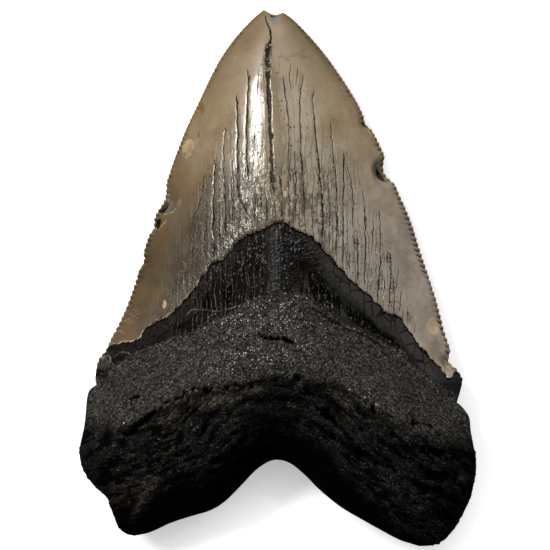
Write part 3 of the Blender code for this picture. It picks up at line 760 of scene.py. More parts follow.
def addNode(kind, values=None, **settings):  # the wire from its first output
    made = bench["tree"].nodes.new(kind)
    for name, value in settings.items():
        setattr(made, name, value)
    for name, value in (values or {}).items():
        feed(made.inputs[name], value)
    return Wire(made.outputs[0])


def calc(operation, *values):
    return addNode("ShaderNodeMath", dict(enumerate(values)), operation=operation)


def most(*values):  # the highest
    high = values[0]
    for value in values[1:]:
        high = calc("MAXIMUM", high, value)
    return high


def spanTo(value, start, end, low=0, high=1):  # eased step from low to high
    return addNode("ShaderNodeMapRange", dict(enumerate((value, start, end, low, high))),
                   interpolation_type="SMOOTHSTEP")


def noiseAt(vector, scale, detail=2, roughness=0.5, seed=0):
    values = {"Vector": vector, "Scale": scale, "Detail": detail, "Roughness": roughness, "W": seed}
    return addNode("ShaderNodeTexNoise", values, noise_dimensions="4D")


def vectorCalc(operation, values):
    return addNode("ShaderNodeVectorMath", values, operation=operation)


def scaled(vector, factors):
    return vectorCalc("MULTIPLY", {0: vector, 1: factors})


def inMm(vector):
    return scaled(vector, (1 / mm, 1 / mm, 1 / mm))


def newGroup(name, inputs, outputs, kind="ShaderNodeTree"):  # an input has a number or a kind of socket
    tree = bench["tree"] = bpy.data.node_groups.new(name, kind)
    for label, given in inputs.items():
        socketType = "NodeSocket" + (given if isinstance(given, str) else "Float")
        socket = tree.interface.new_socket(label, in_out="INPUT", socket_type=socketType)
        if not isinstance(given, str):
            socket.default_value = given
    for label, given in outputs.items():
        tree.interface.new_socket(label, in_out="OUTPUT", socket_type="NodeSocket" + given)
    return addNode("NodeGroupInput"), tree.nodes.new("NodeGroupOutput").inputs


relief = {  # given to the geometry nodes, by the names of their inputs
    "Serration Depth": 0.15,
    "Groove Depth": 0.17,
    "Groove Reach": 1.6,
    "Grain Size": 1.1,
    "Grain Height": 0.12,
    "Ledge Length": 7.0,
    "Ledge Thickness": 1.5,
    "Ledge Height": 0.3,
    "Rubble Size": 1.3,
    "Rubble Height": 1.15,
    "Enamel Ripple": 0.015,
    "Seed": 7.0,
}


def rubbleNoise(run, inset, size):  # lumps drawn out along the root's arch
    place = addNode("ShaderNodeCombineXYZ", {0: run * 0.4, 1: inset})
    return noiseAt(place, 1 / size, 4, 0.65, relief["Seed"])


def stored(name, kind="FLOAT"):  # one of the mesh's own fields, for geometry nodes
    return addNode("GeometryNodeInputNamedAttribute", {"Name": name}, data_type=kind)


def makeReliefTree():
    given, result = newGroup(
        "toothRelief",
        {"Geometry": "Geometry", **relief, "Crown Material": "Material", "Root Material": "Material"},
        {"Geometry": "Geometry"}, "GeometryNodeTree")
    place, seed = inMm(addNode("GeometryNodeInputPosition")), given["Seed"]
    rimInset, baseInset, belowNeck = stored("rimInset"), stored("baseInset"), stored("belowNeck")
    layerMask, layerRun = stored("layerMask"), stored("layerRun")

    # serrations: rounded teeth with narrow notches, each notch running inwards as a groove
    wave = calc("COSINE", stored("serrationPhase") * (2 * math.pi))
    uneven = spanTo(noiseAt(place, 0.45, seed=seed), 0.35, 0.6, serrations["weak"], 1)
    groove = uneven * stored("serrationFade") * (wave * 0.5 + 0.5) ** 2.2
    groove = groove * spanTo(rimInset, 0, given["Groove Reach"], 1, 0)

    # grain of the root, and its layers that run with the arch and end in ragged ledges
    onRoot = spanTo(belowNeck, -0.3, 1.2)
    grain = (noiseAt(place, 1 / given["Grain Size"], 1, 0.5, seed) - 0.5) * given["Grain Height"]
    grain = grain * onRoot * (spanTo(rimInset, 0, 2) * spanTo(baseInset, 0, 2) * 1.5 + 0.5)
    layers = addNode("ShaderNodeCombineXYZ", {0: layerRun / given["Ledge Length"],
                                              1: baseInset / (given["Ledge Thickness"] * 2)})
    step = calc("FRACT", noiseAt(layers, 1, 4, 0.6, seed) * 4.5 + baseInset / given["Ledge Thickness"])
    face = spanTo(step, 0, 0.86) * spanTo(step, 1, 0.86)
    worn = spanTo(noiseAt(layers, 1.7, 2, 0.5, 21), 0.38, 0.62) * layerMask * spanTo(baseInset, 0.3, 2)
    ledge = (face - 0.5) * worn * given["Ledge Height"]
    crevice = spanTo(face, 0.35, 0) * worn
    rubble = (rubbleNoise(layerRun, baseInset, given["Rubble Size"]) - 0.5) * given["Rubble Height"]
    rubble = rubble * (layerMask * 0.85 + 0.15) * onRoot * spanTo(baseInset, 1, 4.5)

    # faint ripple of the polished enamel
    ripple = noiseAt(scaled(place, (1, 0.35, 1)), 0.9, 2, 0.5, 2) - 0.5
    ripple = ripple * spanTo(stored("belowEnamel"), 0.3, -0.3) * given["Enamel Ripple"]

    rise = grain + ledge + rubble + ripple - groove * given["Groove Depth"]
    up = vectorCalc("SCALE", {0: addNode("GeometryNodeInputNormal"), "Scale": rise * mm})
    pull = groove * given["Serration Depth"] * mm
    inwards = vectorCalc("SCALE", {0: stored("inward", "FLOAT_VECTOR"), "Scale": pull})
    steps = [
        ("StoreNamedAttribute", {"Name": "groove", "Value": groove}),
        ("StoreNamedAttribute", {"Name": "crevice", "Value": crevice}),
        ("SetPosition", {"Offset": vectorCalc("ADD", {0: up, 1: inwards})}),
        ("RealizeInstances", {}),
        ("SetMaterial", {"Material": given["Crown Material"]}),
        ("SetMaterial", {"Selection": calc("GREATER_THAN", belowNeck + grain, -0.05),
                         "Material": given["Root Material"]}),
    ]
    shape = given["Geometry"]
    for kind, values in steps:
        shape = addNode("GeometryNode" + kind, {"Geometry": shape, **values})
    feed(result["Geometry"], shape)
    return bench["tree"]


def runTree(piece, tree, values):  # puts the tree on a piece, sets its inputs and makes the result plain
    modifier = piece.modifiers.new(tree.name, "NODES")
    modifier.node_group = tree
    for item in tree.interface.items_tree:
        if item.in_out == "INPUT" and item.name in values:
            modifier[item.identifier] = values[item.name]
    finished = bpy.data.meshes.new_from_object(
        piece.evaluated_get(bpy.context.evaluated_depsgraph_get()))
    piece.modifiers.clear()
    piece.data = finished
    print("relief:", tree.name, "with", len(tree.nodes), "nodes")


def tone(red, green, blue):  # sRGB, 0 to 255
    def linear(value):
        share = value / 255
        return share / 12.92 if share <= 0.04045 else ((share + 0.055) / 1.055) ** 2.4
    return (linear(red), linear(green), linear(blue), 1.0)


enamelFinish = {
    "tan": tone(156, 135, 102),   # the smooth border
    "grey": tone(162, 155, 147),  # the right side, partly its own grey and partly painted sheen where the key light falls
    "olive": tone(124, 112, 88),  # the cracked middle
    "brown": tone(62, 52, 32),    # browner left side and tip: partly their own brown, partly painted shade
    "pale": tone(166, 152, 128),  # clouds
    "warm": tone(108, 82, 48),    # washes near the border
    "green": tone(42, 38, 29),    # bands low on the left, and also part of the painted shade there
    "rim": tone(178, 166, 140),   # lips and chips that catch the light
    "slate": tone(108, 101, 84),  # streaks
    "crack": tone(16, 13, 9),     # inside the cracks
    "grit": tone(66, 60, 45),     # what fills the wide ones
    "crust": tone(44, 37, 27),    # crumbling beside them
    "stain": tone(52, 38, 22),    # in the notches of the edge
    "roughness": 0.17,
}
markFinish = {  # tone, what is added to the ragged edge, and where the mark is solid
    "stain": (tone(112, 80, 38), 0.15, 0.7),
    "tan": (tone(190, 164, 128), 0.2, 0.35),
    "grey": (tone(112, 109, 97), 0, 0.7),
    "amber": (tone(104, 78, 42), 0, 0.7),
    # dark: black in the bites, partly their own dark and partly painted shade of the steep walls
    "dark": (tone(24, 20, 16), 0.15, 0.5),
    "slate": (tone(98, 101, 106), 0.3, 0.5),
}
bourletteFinish = {
    "black": tone(10, 8, 7),
    "scale": tone(25, 21, 18),
    "band": tone(33, 29, 26),
    "plate": tone(57, 53, 50),
    "vein": tone(92, 85, 70),
    # crumb: pale crumbs in the hollows, and also the tone of the painted glints on the left
    "crumb": tone(104, 100, 92),
    "knob": tone(66, 60, 40),
    "hollow": tone(14, 11, 8),
    # cave: the deeper black of the hollows and caves, painted shade
    "cave": tone(6, 5, 4),
    "line": tone(122, 118, 108),
    "roughness": 0.17,
}
rootFinish = {
    "black": tone(10, 9, 8),
    "grey": tone(88, 84, 77),
    # speck: pale specks painted as glints
    "speck": tone(136, 132, 124),
    "rust": tone(84, 56, 34),
    "dust": tone(108, 98, 82),
    # deep: the near-black of the painted shade
    "deep": tone(6, 5, 4),
    "roughness": 0.75,
    "glintRoughness": 0.36,
    "specular": 0.1,
}


def mixColor(share, low, high):
    return addNode("ShaderNodeMix", {0: share, 6: low, 7: high}, data_type="RGBA")[2]


def mixValue(share, low, high):
    return addNode("ShaderNodeMix", {0: share, 2: low, 3: high}, data_type="FLOAT")


def paint(color, *coats):  # lays coats over a colour, each with its share and its tone
    for share, coat in coats:
        color = mixColor(share, color, coat)
    return color


def makeGrainGroup():  # soft mottling, from 0 to 1
    given, result = newGroup("grain", {"Vector": "Vector", "Size": 1, "Detail": 3, "Contrast": 0.2,
                                       "Seed": 0}, {"Mask": "Float"})
    noise = noiseAt(given["Vector"], 1 / given["Size"], given["Detail"], 0.6, given["Seed"])
    feed(result["Mask"], spanTo(noise, 0.5 - given["Contrast"], given["Contrast"] + 0.5))


def cellsOf(vector, size, feature="F1"):
    return addNode("ShaderNodeTexVoronoi", {"Vector": vector, "Scale": 1 / size}, feature=feature)


def chanceOf(cells):  # a number for each cell
    return addNode("ShaderNodeSeparateColor", {0: cells["Color"]})


def makeSpecksGroup():  # scattered small spots
    given, result = newGroup("specks", {"Vector": "Vector", "Spacing": 1, "Size": 0.1, "Share": 0.3},
                             {"Mask": "Float"})
    cells = cellsOf(given["Vector"], given["Spacing"])
    spot = spanTo(cells["Distance"] * given["Spacing"], given["Size"] * 0.5, given["Size"], 1, 0)
    feed(result["Mask"], spot * calc("LESS_THAN", chanceOf(cells), given["Share"]))


def makeHairlinesGroup():  # near-parallel hair cracks running along Y, each of its own length
    given, result = newGroup("hairlines", {"Vector": "Vector", "Spacing": 1, "Width": 0.1, "Wander": 0.6,
                                           "Length": 8, "Share": 0.5, "Seed": 0}, {"Mask": "Float"})
    vector, seed = given["Vector"], given["Seed"]
    split = addNode("ShaderNodeSeparateXYZ", {0: vector})
    bend = noiseAt(scaled(vector, (0.15, 0.2, 0)), 1, 1, 0.5, seed)
    shake = noiseAt(scaled(vector, (0.8, 1.4, 0)), 1, 1, 0.5, seed)
    phase = ((shake * 0.18 + bend * 4) * given["Wander"] + split[0]) / given["Spacing"]
    cell = calc("FLOOR", phase)
    chance = addNode("ShaderNodeTexWhiteNoise", {"W": cell + seed}, noise_dimensions="1D")
    gap = abs(calc("FRACT", phase) - (chance * 0.6 + 0.2)) * given["Spacing"]
    place = addNode("ShaderNodeCombineXYZ", {0: cell * 7.31, 1: split[1] / given["Length"]})
    limit = 1 - given["Share"]
    present = spanTo(noiseAt(place, 1, 1, 0.5, seed), limit - 0.06, limit + 0.06)
    width = given["Width"] * present
    feed(result["Mask"], spanTo(gap, width * 0.4, width + 0.01, 1, 0) * present)


def makePebblesGroup():  # packed rounded grains, each with a tone of its own
    given, result = newGroup("pebbles", {"Vector": "Vector", "Size": 0.5},
                             {"Dome": "Float", "Tone": "Float"})
    cells = cellsOf(given["Vector"], given["Size"])
    feed(result["Dome"], 1 - cells["Distance"] ** 2)
    feed(result["Tone"], chanceOf(cells))


def makePlatesGroup():  # the lines between small angular plates
    given, result = newGroup("plates", {"Vector": "Vector", "Size": 2, "Width": 0.1}, {"Mask": "Float"})
    gap = cellsOf(given["Vector"], given["Size"], "DISTANCE_TO_EDGE")["Distance"] * given["Size"]
    feed(result["Mask"], spanTo(gap, given["Width"] * 0.4, given["Width"], 1, 0))


def useGroup(group, **values):
    return addNode("ShaderNodeGroup", values, node_tree=bpy.data.node_groups[group])


def startMaterial(name):  # its patterns run in millimetres on the tooth
    material = bpy.data.materials.new(name)
    material.use_nodes = True
    bench["tree"] = material.node_tree
    vector = inMm(addNode("ShaderNodeTexCoord")["Object"])
    axes = addNode("ShaderNodeSeparateXYZ", {0: vector})
    return material, vector, axes, axes[1]


def field(name):  # one of the mesh's own fields, for a material
    return addNode("ShaderNodeAttribute", attribute_name=name)["Fac"]


def blotch(vector, size, contrast, seed, detail=3, stretch=(1, 1, 1)):
    return useGroup("grain", Vector=scaled(vector, stretch), Size=size, Detail=detail, Contrast=contrast,
                    Seed=seed)


def specks(vector, spacing, size, share, stretch=(1, 1, 1)):
    return useGroup("specks", Vector=scaled(vector, stretch), Spacing=spacing, Size=size, Share=share)


def finishMaterial(material, color, roughness, height, metallic, specular=0.5):
    shader = material.node_tree.nodes["Principled BSDF"]
    bump = addNode("ShaderNodeBump", {"Height": height, "Strength": 1, "Distance": mm})
    values = {"Base Color": color, "Roughness": roughness, "Metallic": metallic, "Normal": bump,
              "IOR": 1.5, "Specular IOR Level": specular}
    for name, value in values.items():
        feed(shader.inputs[name], value)
    print("material:", material.name, "with", len(material.node_tree.nodes), "nodes")
    return material


def layEnamel(vector, x, y, belowEnamel):  # a smooth border, and a cracked, pitted middle
    look = enamelFinish
    rimInset, crackGap, crackWidth = field("rimInset"), field("crackGap"), field("crackWidth")
    cracked = spanTo(rimInset + blotch(vector, 5, 0.25, 1) * 4, 6, 13)
    low = spanTo(y, 30, 6)
    leftSide, rightSide = spanTo(x, 0, -14), spanTo(x, -2, 12)
    streak = blotch(vector, 1, 0.22, 3, 4, (1.8, 0.1, 1)) * cracked
    threads = blotch(vector, 0.55, 0.2, 7, 3, (1.4, 0.08, 0.1)) * spanTo(rimInset, 1.5, 5)
    wash = blotch(vector, 3, 0.16, 13, 4, (0.9, 0.16, 1)) * low
    wash = wash * spanTo(rimInset, 1, 3) * spanTo(rimInset, 9, 5.5)
    bands = blotch(vector, 1, 0.12, 15, 2, (1, 0.07, 1)) * spanTo(rimInset, 3.5, 6.5) * spanTo(y, 19, 10)
    color = paint(
        look["tan"],
        (cracked * 0.8, look["olive"]),
        # painted shade: the left side browner, more so low down, and the tip darker; partly their own
        # brown
        (leftSide * (low * 0.7 + 0.3), look["brown"]),
        (spanTo(y, 31, 44, 0, 0.38), look["brown"]),
        # the right side greyer and paler low down, partly painted sheen
        (rightSide * low * 0.9, look["grey"]),
        (blotch(vector, 7, 0.16, 8) * 0.3, look["pale"]),
        (blotch(vector, 4.5, 0.12, 12) * 0.35, look["slate"]),
        (blotch(vector, 1.1, 0.15, 14, 5) * 0.2, markFinish["stain"][0]),
        (streak * spanTo(rightSide, 0, 1, 0.45, 0.25), look["slate"]),
        (threads * rightSide * low * 0.22, look["slate"]),
        (wash * leftSide * 0.55, look["warm"]),
        (bands * leftSide * 0.75, look["green"]),
        # darker and more olive low on the left: painted shade, partly its own olive tone
        (leftSide * spanTo(y, 14, 3) * spanTo(rimInset, 3, 7) * 0.17, look["green"]),
        (leftSide * cracked * spanTo(y, 26, 14) * 0.15, look["green"]),
    )

    # pits, crusts and hair cracks of the middle, scratches at the lower corners, and more painted shade
    # low on the left and at the tip
    middle = spanTo(y, 28, 13) * spanTo(abs(x), 16, 6)
    pits = specks(vector, 0.6, 0.17, middle * 0.3 + (low + 1.2) * 0.11, (1, 0.8, 1))
    pits = pits * (cracked * 0.75 + 0.25)
    dots = specks(vectorCalc("ADD", {0: vector, 1: (37, 37, 0)}), 0.8, 0.22, 0.32)
    flaw = noiseAt(scaled(vector, (1.3, 0.6, 1)), 1.1, 4, 0.6, 16)
    worn = spanTo(abs(crackGap), 0.9, 0.1) * 0.09 + (middle * 0.12 - 0.12)
    crust = spanTo(flaw + worn, 0.51, 0.58) * cracked * spanTo(y, 33, 21) * (middle * 0.75 + 0.25)
    gape = spanTo(y, 36, 38.5) * spanTo(y, 45, 43) * spanTo(abs(crackGap), 1, 0.3)
    gape = spanTo(gape * spanTo(crackWidth, 0.12, 0.2), 0.15, 0.6)
    crust = most(crust, gape * spanTo(blotch(vector, 0.6, 0.12, 23), 0.3, 0.6))
    fine = useGroup("hairlines", Vector=vector, Spacing=1.1, Width=0.07, Wander=0.4, Length=9,
                    Share=0.62, Seed=4)
    lowLeft = leftSide * spanTo(y, 10, 4) * spanTo(rimInset, 4.5, 6.5)
    fine = fine * most(cracked, lowLeft) * spanTo(y, 30, 18)
    corner = spanTo(x, -24.5, -28) * spanTo(y, -4, -7.5) + spanTo(x, 26.5, 29) * spanTo(y, -9.5, -12)
    slanted = addNode("ShaderNodeVectorRotate", {"Vector": vector, "Angle": math.radians(30)},
                      rotation_type="Z_AXIS")
    slanted = blotch(slanted, 0.5, 0.2, 27, 2, (0.1, 1, 0.02))
    color = paint(
        color,
        (crust * 0.75, look["crust"]),
        (pits * 0.85, look["crack"]),
        (dots * (rightSide * 0.25 + 0.25), look["crust"]),
        (fine * 0.8, look["crack"]),
        # painted shade low on the left
        (leftSide * spanTo(y, 24, 0) * 0.62, look["brown"]),
        (leftSide * spanTo(y, 18, -4) * 0.5, look["brown"]),
        (leftSide * spanTo(y, 22, 4) * 0.18, look["crust"]),
        (spanTo(y, 20, 40, 0, 0.22), look["warm"]),
        # painted shade: the tip a little darker
        (spanTo(y, 38, 46, 0, 0.14), look["brown"]),
        (corner * slanted * 0.45, look["warm"]),
        (corner * spanTo(slanted, 0.4, 0) * 0.4, look["pale"]),
    )

    # the painted ovals, each with a ragged edge
    ragged = blotch(vector, 1.3, 0.2, 17, 4) * 0.9 - 0.5
    broken = blotch(vector, 0.7, 0.25, 18, 4) * 0.7 - 0.38
    for name, (tint, lift, solid) in markFinish.items():
        uneven = broken + lift
        if name == "tan":
            uneven = ragged * 0.5 + uneven
        worn = field(name) + uneven * spanTo(field(name), 0, 0.2)
        color = mixColor(spanTo(worn, 0.15, solid) * 0.75, color, tint)
        if name == "tan":  # duller inside its pale rim
            color = mixColor(spanTo(worn, 0.5, 0.85, 0, 0.5), color, look["tan"])
    # painted highlight: a pale lit edge along the enamel's lower border on the left
    rim = spanTo(belowEnamel, -0.32, -0.2) * spanTo(x, -6, -14) * spanTo(flaw, 0.46, 0.54)
    clouds = blotch(vector, 3.2, 0.2, 18) * spanTo(rimInset, 9, 3) * spanTo(y, 34, 24)
    # the bites' black laid on again over the washes: partly their own dark, partly painted shade
    bitten = spanTo(field("dark"), 0.15, 0.5) * spanTo(field("slate"), 0.45, 0.15)

    # the cut cracks: ragged and beaded, with grit in the wide ones, and pale raised chips beside them
    # painted in the lit tone as glints
    rag = (blotch(vector, 0.45, 0.3, 19, 4) - 0.5) * spanTo(crackWidth, 0.05, 0.12, 0.1, 0.24)
    gap = abs(rag + crackGap)
    beads = blotch(vector, 0.9, 0.14, 22, 3)
    width = crackWidth * mixValue(middle, beads * 0.7 + 0.9, beads * 2.6 + 0.5)
    crack = spanTo(gap, width * 0.7, width * 1.25 + 0.02, 1, 0) * spanTo(width, 0.01, 0.05)
    filled = spanTo(gap, width * 0.2, width * 0.7, 0.7, 0) * spanTo(crackWidth, 0.11, 0.18)
    filled = filled * spanTo(y, 38, 33)
    grit = blotch(vector, 0.3, 0.18, 25, 2) * spanTo(crackWidth, 0.05, 0.15, 0.2, 0.75)
    chips = specks(vector, 0.42, 0.2, 0.45, (1, 0.8, 1)) * spanTo(gap, width * 1.2 + 0.3, width * 0.6)
    chips = chips * spanTo(crackWidth, 0.08, 0.16) * spanTo(y, 46.5, 43)
    scratch = spanTo(field("lineGap"), 0.05, 0.16, 1, 0)
    color = paint(
        color,
        (rim * 0.7, look["rim"]),
        (spanTo(rimInset, 1.1, 0.1, 0, 0.5), look["warm"]),
        (clouds * spanTo(x, -6, 6, 0.5, 0.35), markFinish["amber"][0]),
        (spanTo(field("groove"), 0.08, 0.5) * 0.9, look["stain"]),
        (bitten * 0.85, markFinish["dark"][0]),
        (crack, mixColor(grit, look["crack"], look["grit"])),
        (chips * 0.8, look["rim"]),
        (scratch * spanTo(x, 8, 10) * 0.4, look["crust"]),
        # the lips of the left bite in the lit tone: painted highlight
        (scratch * spanTo(x, -17, -18) * 0.7, look["rim"]),
        (filled, look["crust"]),
    )
    roughness = (blotch(vector, 0.9, 0.3, 20) * 0.14 + (look["roughness"] - 0.07)
                 + spanTo(cracked, 0, 0.7, 0.28, 0) + spanTo(x, -5, -11) * low * cracked * 0.12
                 + most(crack * 2, crust) * 0.25)
    dimples = blotch(vector, 0.6, 0.3, 28, 1.5, (0.9, 1.1, 1)) * spanTo(y, 26, 15, 0.007, 0.018)
    height = (dimples - middle * blotch(vector, 0.6, 0.22, 24, 2, (1.5, 0.55, 1)) * 0.06
              - most(crack, pits, crust) * 0.1 - fine * 0.07 + chips * 0.07
              + streak * spanTo(y, 26, 14, 0.012, 0.03) * spanTo(x, -13, -6, 0.4, 1))
    dead = most((crack - filled) * (0.7 - chips * 0.7), spanTo(field("dark"), 0.1, 0.6, 0, 0.8))
    return color, roughness, height, dead


def layBourlette(vector, x, y, belowEnamel, belowNeck):  # a grey band of plates, and black hollows darkened further with painted shade
    look = bourletteFinish
    flanks, leftBand = spanTo(abs(x), 5, 11), spanTo(x, 1.5, -3)
    fibres = blotch(vector, 1, 0.25, 30, 3, (2, 0.25, 1))
    band = spanTo(fibres * 0.6 + belowEnamel, 3, 2.2) * flanks * spanTo(x, 31, 27)
    crumbled = blotch(vector, 0.45, 0.16, 40, 3, (1.3, 0.8, 1))
    plates = useGroup("plates", Vector=scaled(vector, (1.1, 0.9, 1)), Size=2.3, Width=0.16)
    plates = plates * band * spanTo(x, 6, 11)
    # the hollows and, on the left, the caves; their deeper parts are darkened with painted shade
    hollow = spanTo(fibres * 0.5 + field("hollow") * spanTo(x, -2, 2, 2.9, 1), 0.45, 0.8)
    caves = (leftBand * spanTo(fibres * 1.4 + belowEnamel, 2.7, 3.8) * spanTo(belowNeck, -0.2, -1)
             * spanTo(x, -23, -19) * blotch(vector, 3, 0.12, 46, 2, (1.2, 0.7, 1)))
    veins = useGroup("hairlines", Vector=vector, Spacing=0.9, Width=0.07, Wander=0.5, Length=4,
                     Share=0.6, Seed=9)
    veins = veins * (hollow * 0.4 + spanTo(x, -6, 2, 0.35, 0.12)) * spanTo(x, -22, -18)
    beaded = spanTo(noiseAt(scaled(vector, (1, 0.9, 1)), 1.6, 2, 0.6, 41), 0.42, 0.56, 0.15, 1)
    veins = veins * beaded * spanTo(x, 0, 5, 1, 0.7)
    crumbs = spanTo(noiseAt(scaled(vector, (1.3, 0.6, 1)), 2.6, 4, 0.65, 42), 0.56, 0.64)
    crumbs = crumbs * spanTo(x, 3, 8) * hollow
    # sparks: pale specks in columns on the left, painted glints that keep their sheen
    columns = blotch(vector, 0.9, 0.12, 44, 2, (1.6, 0.12, 1))
    sparks = specks(vector, 0.34, 0.15, columns * columns * 0.75, (1, 0.6, 1))
    sparks = sparks * leftBand * spanTo(x, -19, -13) * spanTo(hollow, 1, 0.2, 0.3, 1)
    knob = spanTo(x, -30.6, -31.8) * spanTo(y, -13, -14) * spanTo(y, -17.4, -16.2)
    knob = knob * blotch(vector, 1.3, 0.25, 43)
    line = blotch(vector, 0.5, 0.3, 35) * 0.12 + field("lineGap")
    line = spanTo(line, 0.05, spanTo(x, -27, -26, 0.27, 0.2), 0.7, 0)
    # painted shadow: a black line just below the enamel's edge, where its step shades the bourlette
    shadowUnderEnamel = spanTo(belowEnamel, 0.18, 0.42, 1, 0)
    color = paint(
        look["black"],
        (blotch(vector, 0.55, 0.12, 33), look["scale"]),
        (band * 0.85, mixColor(spanTo(x, 4, 10), look["band"], look["plate"])),
        (leftBand * crumbled, look["black"]),
        (plates, look["black"]),
        (hollow, look["hollow"]),
        (hollow * spanTo(x, 2, 7) * 0.75, look["cave"]),
        (caves * 0.9, look["cave"]),
        (veins, look["vein"]),
        (crumbs * 0.7, look["crumb"]),
        (sparks * 0.5, look["crumb"]),
        (knob * 0.9, look["knob"]),
        (line, look["line"]),
        (shadowUnderEnamel * 0.95, enamelFinish["crack"]),
    )
    dull = most(band, spanTo(belowNeck, -1.3, -0.8) * spanTo(abs(x), 3, 7))
    roughness = blotch(vector, 0.5, 0.3, 36) * 0.2 + (look["roughness"] - 0.05)
    roughness = roughness + most(dull * 0.25, hollow * 0.45, leftBand * 0.4)
    roughness = most(roughness, spanTo(x, 5, 11, 0, 0.62))
    ridges = blotch(vector, 1, 0.25, 31, 1.5, (1.5, 0.2, 1)) * (0.06 - band * 0.05)
    rough = blotch(vector, 0.5, 0.3, 39, 2) ** 3 * (0.08 - flanks * 0.05)
    grits = specks(vector, 0.8, 0.34, 0.4, (1, 0.6, 1)) * spanTo(flanks, 0, 1, 0.1, 0)
    smooth = (1 - hollow * spanTo(x, 0, -4) * 0.75) * spanTo(x, 28, 24, 0.15, 1)
    height = (ridges + rough + grits) * smooth - plates * 0.05
    # black and metallic: no sheen on the dull band, the left side, the hollows, the caves and the
    # painted shadow under the enamel, so the painted shade stays black
    matt = most(most(dull, spanTo(x, 22, 26)) * 0.3 + 0.4, leftBand * (crumbled * 0.1 + 0.88),
                hollow * spanTo(x, 2, 8, 0.9, 0.97), shadowUnderEnamel, caves)
    matt = matt * (1 - most(crumbs, sparks, veins, line) * 0.8) * (1 - knob * 0.8)
    return color, roughness, height, matt


def layRoot(vector, x, y, power=2.4):  # packed grains, some glinting; the crown borrows them at the neck
    look = rootFinish
    grains, dust = (useGroup("pebbles", Vector=vector, Size=size) for size in (0.5, 0.27))
    lit = spanTo(abs(x + 4), 13, 4) * spanTo(y, -21, -14)
    # pale specks painted in as glints, more of them on the lit top of the root; they also reflect as
    # metal
    glint = specks(vector, 0.4, 0.16, lit * 0.33 + 0.08)
    color = paint(
        look["black"],
        ((dust["Tone"] * 0.85 + grains["Tone"] * 0.15) ** power, look["grey"]),
        (blotch(vector, 6, 0.2, 45) * 0.3, look["black"]),
        (glint, look["speck"]),
    )
    roughness = mixValue(glint, look["roughness"], look["glintRoughness"])
    height = grains["Dome"] * 0.13 + dust["Dome"] * 0.05 + blotch(vector, 1.6, 0.3, 51, 1) * 0.09
    return color, roughness, height, glint


def makeCrownMaterial():
    material, vector, x, y = startMaterial("enamelAndBourlette")
    belowEnamel, belowNeck = field("belowEnamel"), field("belowNeck")
    notEnamel = spanTo(belowEnamel + (blotch(vector, 0.5, 0.2, 6) - 0.5) * 0.3, -0.05, 0.05)
    neckNoise = (blotch(vector, 0.8, 0.3, 5) - 0.5) * 0.8
    onRoot = spanTo(belowNeck + neckNoise + spanTo(abs(x), 5, 11, 0.6, 0), -0.5, -0.2)
    *rootLayer, glint = layRoot(vector, x, y)
    rootLayer.append(most(glint * 0.8, 0.7))
    finish = layEnamel(vector, x, y, belowEnamel)
    for share, layer in ((notEnamel, layBourlette(vector, x, y, belowEnamel, belowNeck)),
                         (onRoot, rootLayer)):
        color = mixColor(share, finish[0], layer[0])
        finish = [color, *(mixValue(share, under, over) for under, over in zip(finish[1:], layer[1:]))]
    return finishMaterial(material, *finish)


def makeRootMaterial():  # rubble and clefts below the crest, with painted shade below the crest, in the rubble's lows and clefts and over the lowest slopes
    material, vector, x, y = startMaterial("root")
    look = rootFinish
    below, baseInset, dustAndLight = field("layerMask"), field("baseInset"), field("dust")
    color, roughness, height, glint = layRoot(vector, x, y, below * 2.6 + 2.4)
    pale = useGroup("pebbles", Vector=vector, Size=0.42)["Tone"] ** 2
    rubble = rubbleNoise(field("layerRun"), baseInset, relief["Rubble Size"])
    # painted shade: in the rubble's lows, over the root below the crest (more at the right end), and
    # over the lowest slopes that face away from the light; lighter where the pale patches lie
    gaps = spanTo(rubble, 0.54, 0.42) * below * 0.45
    shadeBelowCrest = spanTo(x, 24, 33, 0.46, 0.7) - dustAndLight * 0.4
    foot = blotch(vector, 5, 0.25, 47) * 3 + baseInset + spanTo(x, 6, 22, 0, 4)  # lower on the right
    foot = spanTo(foot, 12, 6.5) * below * (0.93 - dustAndLight * 0.8)
    slit = spanTo(blotch(vector, 0.35, 0.3, 52) * 0.16 + field("slit"), 0.28, 0.06, 0, 0.94)
    belowNeck = blotch(vector, 0.6, 0.3, 53) * 0.5 + field("belowNeck")
    # darker just below the raised neck lip on the right
    darkBelowLip = spanTo(abs(belowNeck - 0.8), 0.3, 0.1) * spanTo(x, 4, 8) * spanTo(x, 24, 18) * 0.8
    # all the painted shade, with the shade ovals, clefts, pits and slits, goes to the near-black deep
    # tone
    dark = most(below * (gaps + shadeBelowCrest), foot, field("shade") * 0.95, field("crevice") * 0.6,
                spanTo(field("pit"), 0.1, 0.85), slit, darkBelowLip)
    color = paint(
        color,
        (specks(vector, 3.5, 0.4, 0.12) * 0.5, look["rust"]),
        # paler patches: partly painted light
        (dustAndLight * pale * 0.9, look["dust"]),
        (field("rust") * blotch(vector, 1.2, 0.2, 48) * 0.5, look["rust"]),
        (dark, look["deep"]),
    )
    # the painted shade loses its sheen as black metal, and glints fade inside it
    dead = most(glint * spanTo(dark, 0.9, 0.2, 0, 0.8), spanTo(dark, 0.55, 1))
    height = height + rubble * below * 0.5
    return finishMaterial(material, color, roughness, height, dead, look["specular"])


def makeTooth():
    tooth = addToScene("fossilTooth", makeToothMesh())
    for makeGroup in (makeGrainGroup, makeSpecksGroup, makeHairlinesGroup, makePebblesGroup,
                      makePlatesGroup):
        makeGroup()
    runTree(tooth, makeReliefTree(), {**relief, "Crown Material": makeCrownMaterial(),
                                      "Root Material": makeRootMaterial()})
    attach(tooth, "root")
    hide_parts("tooth")
    tooth.data.calc_loop_triangles()
    print("tooth:", len(tooth.data.loop_triangles), "triangles")


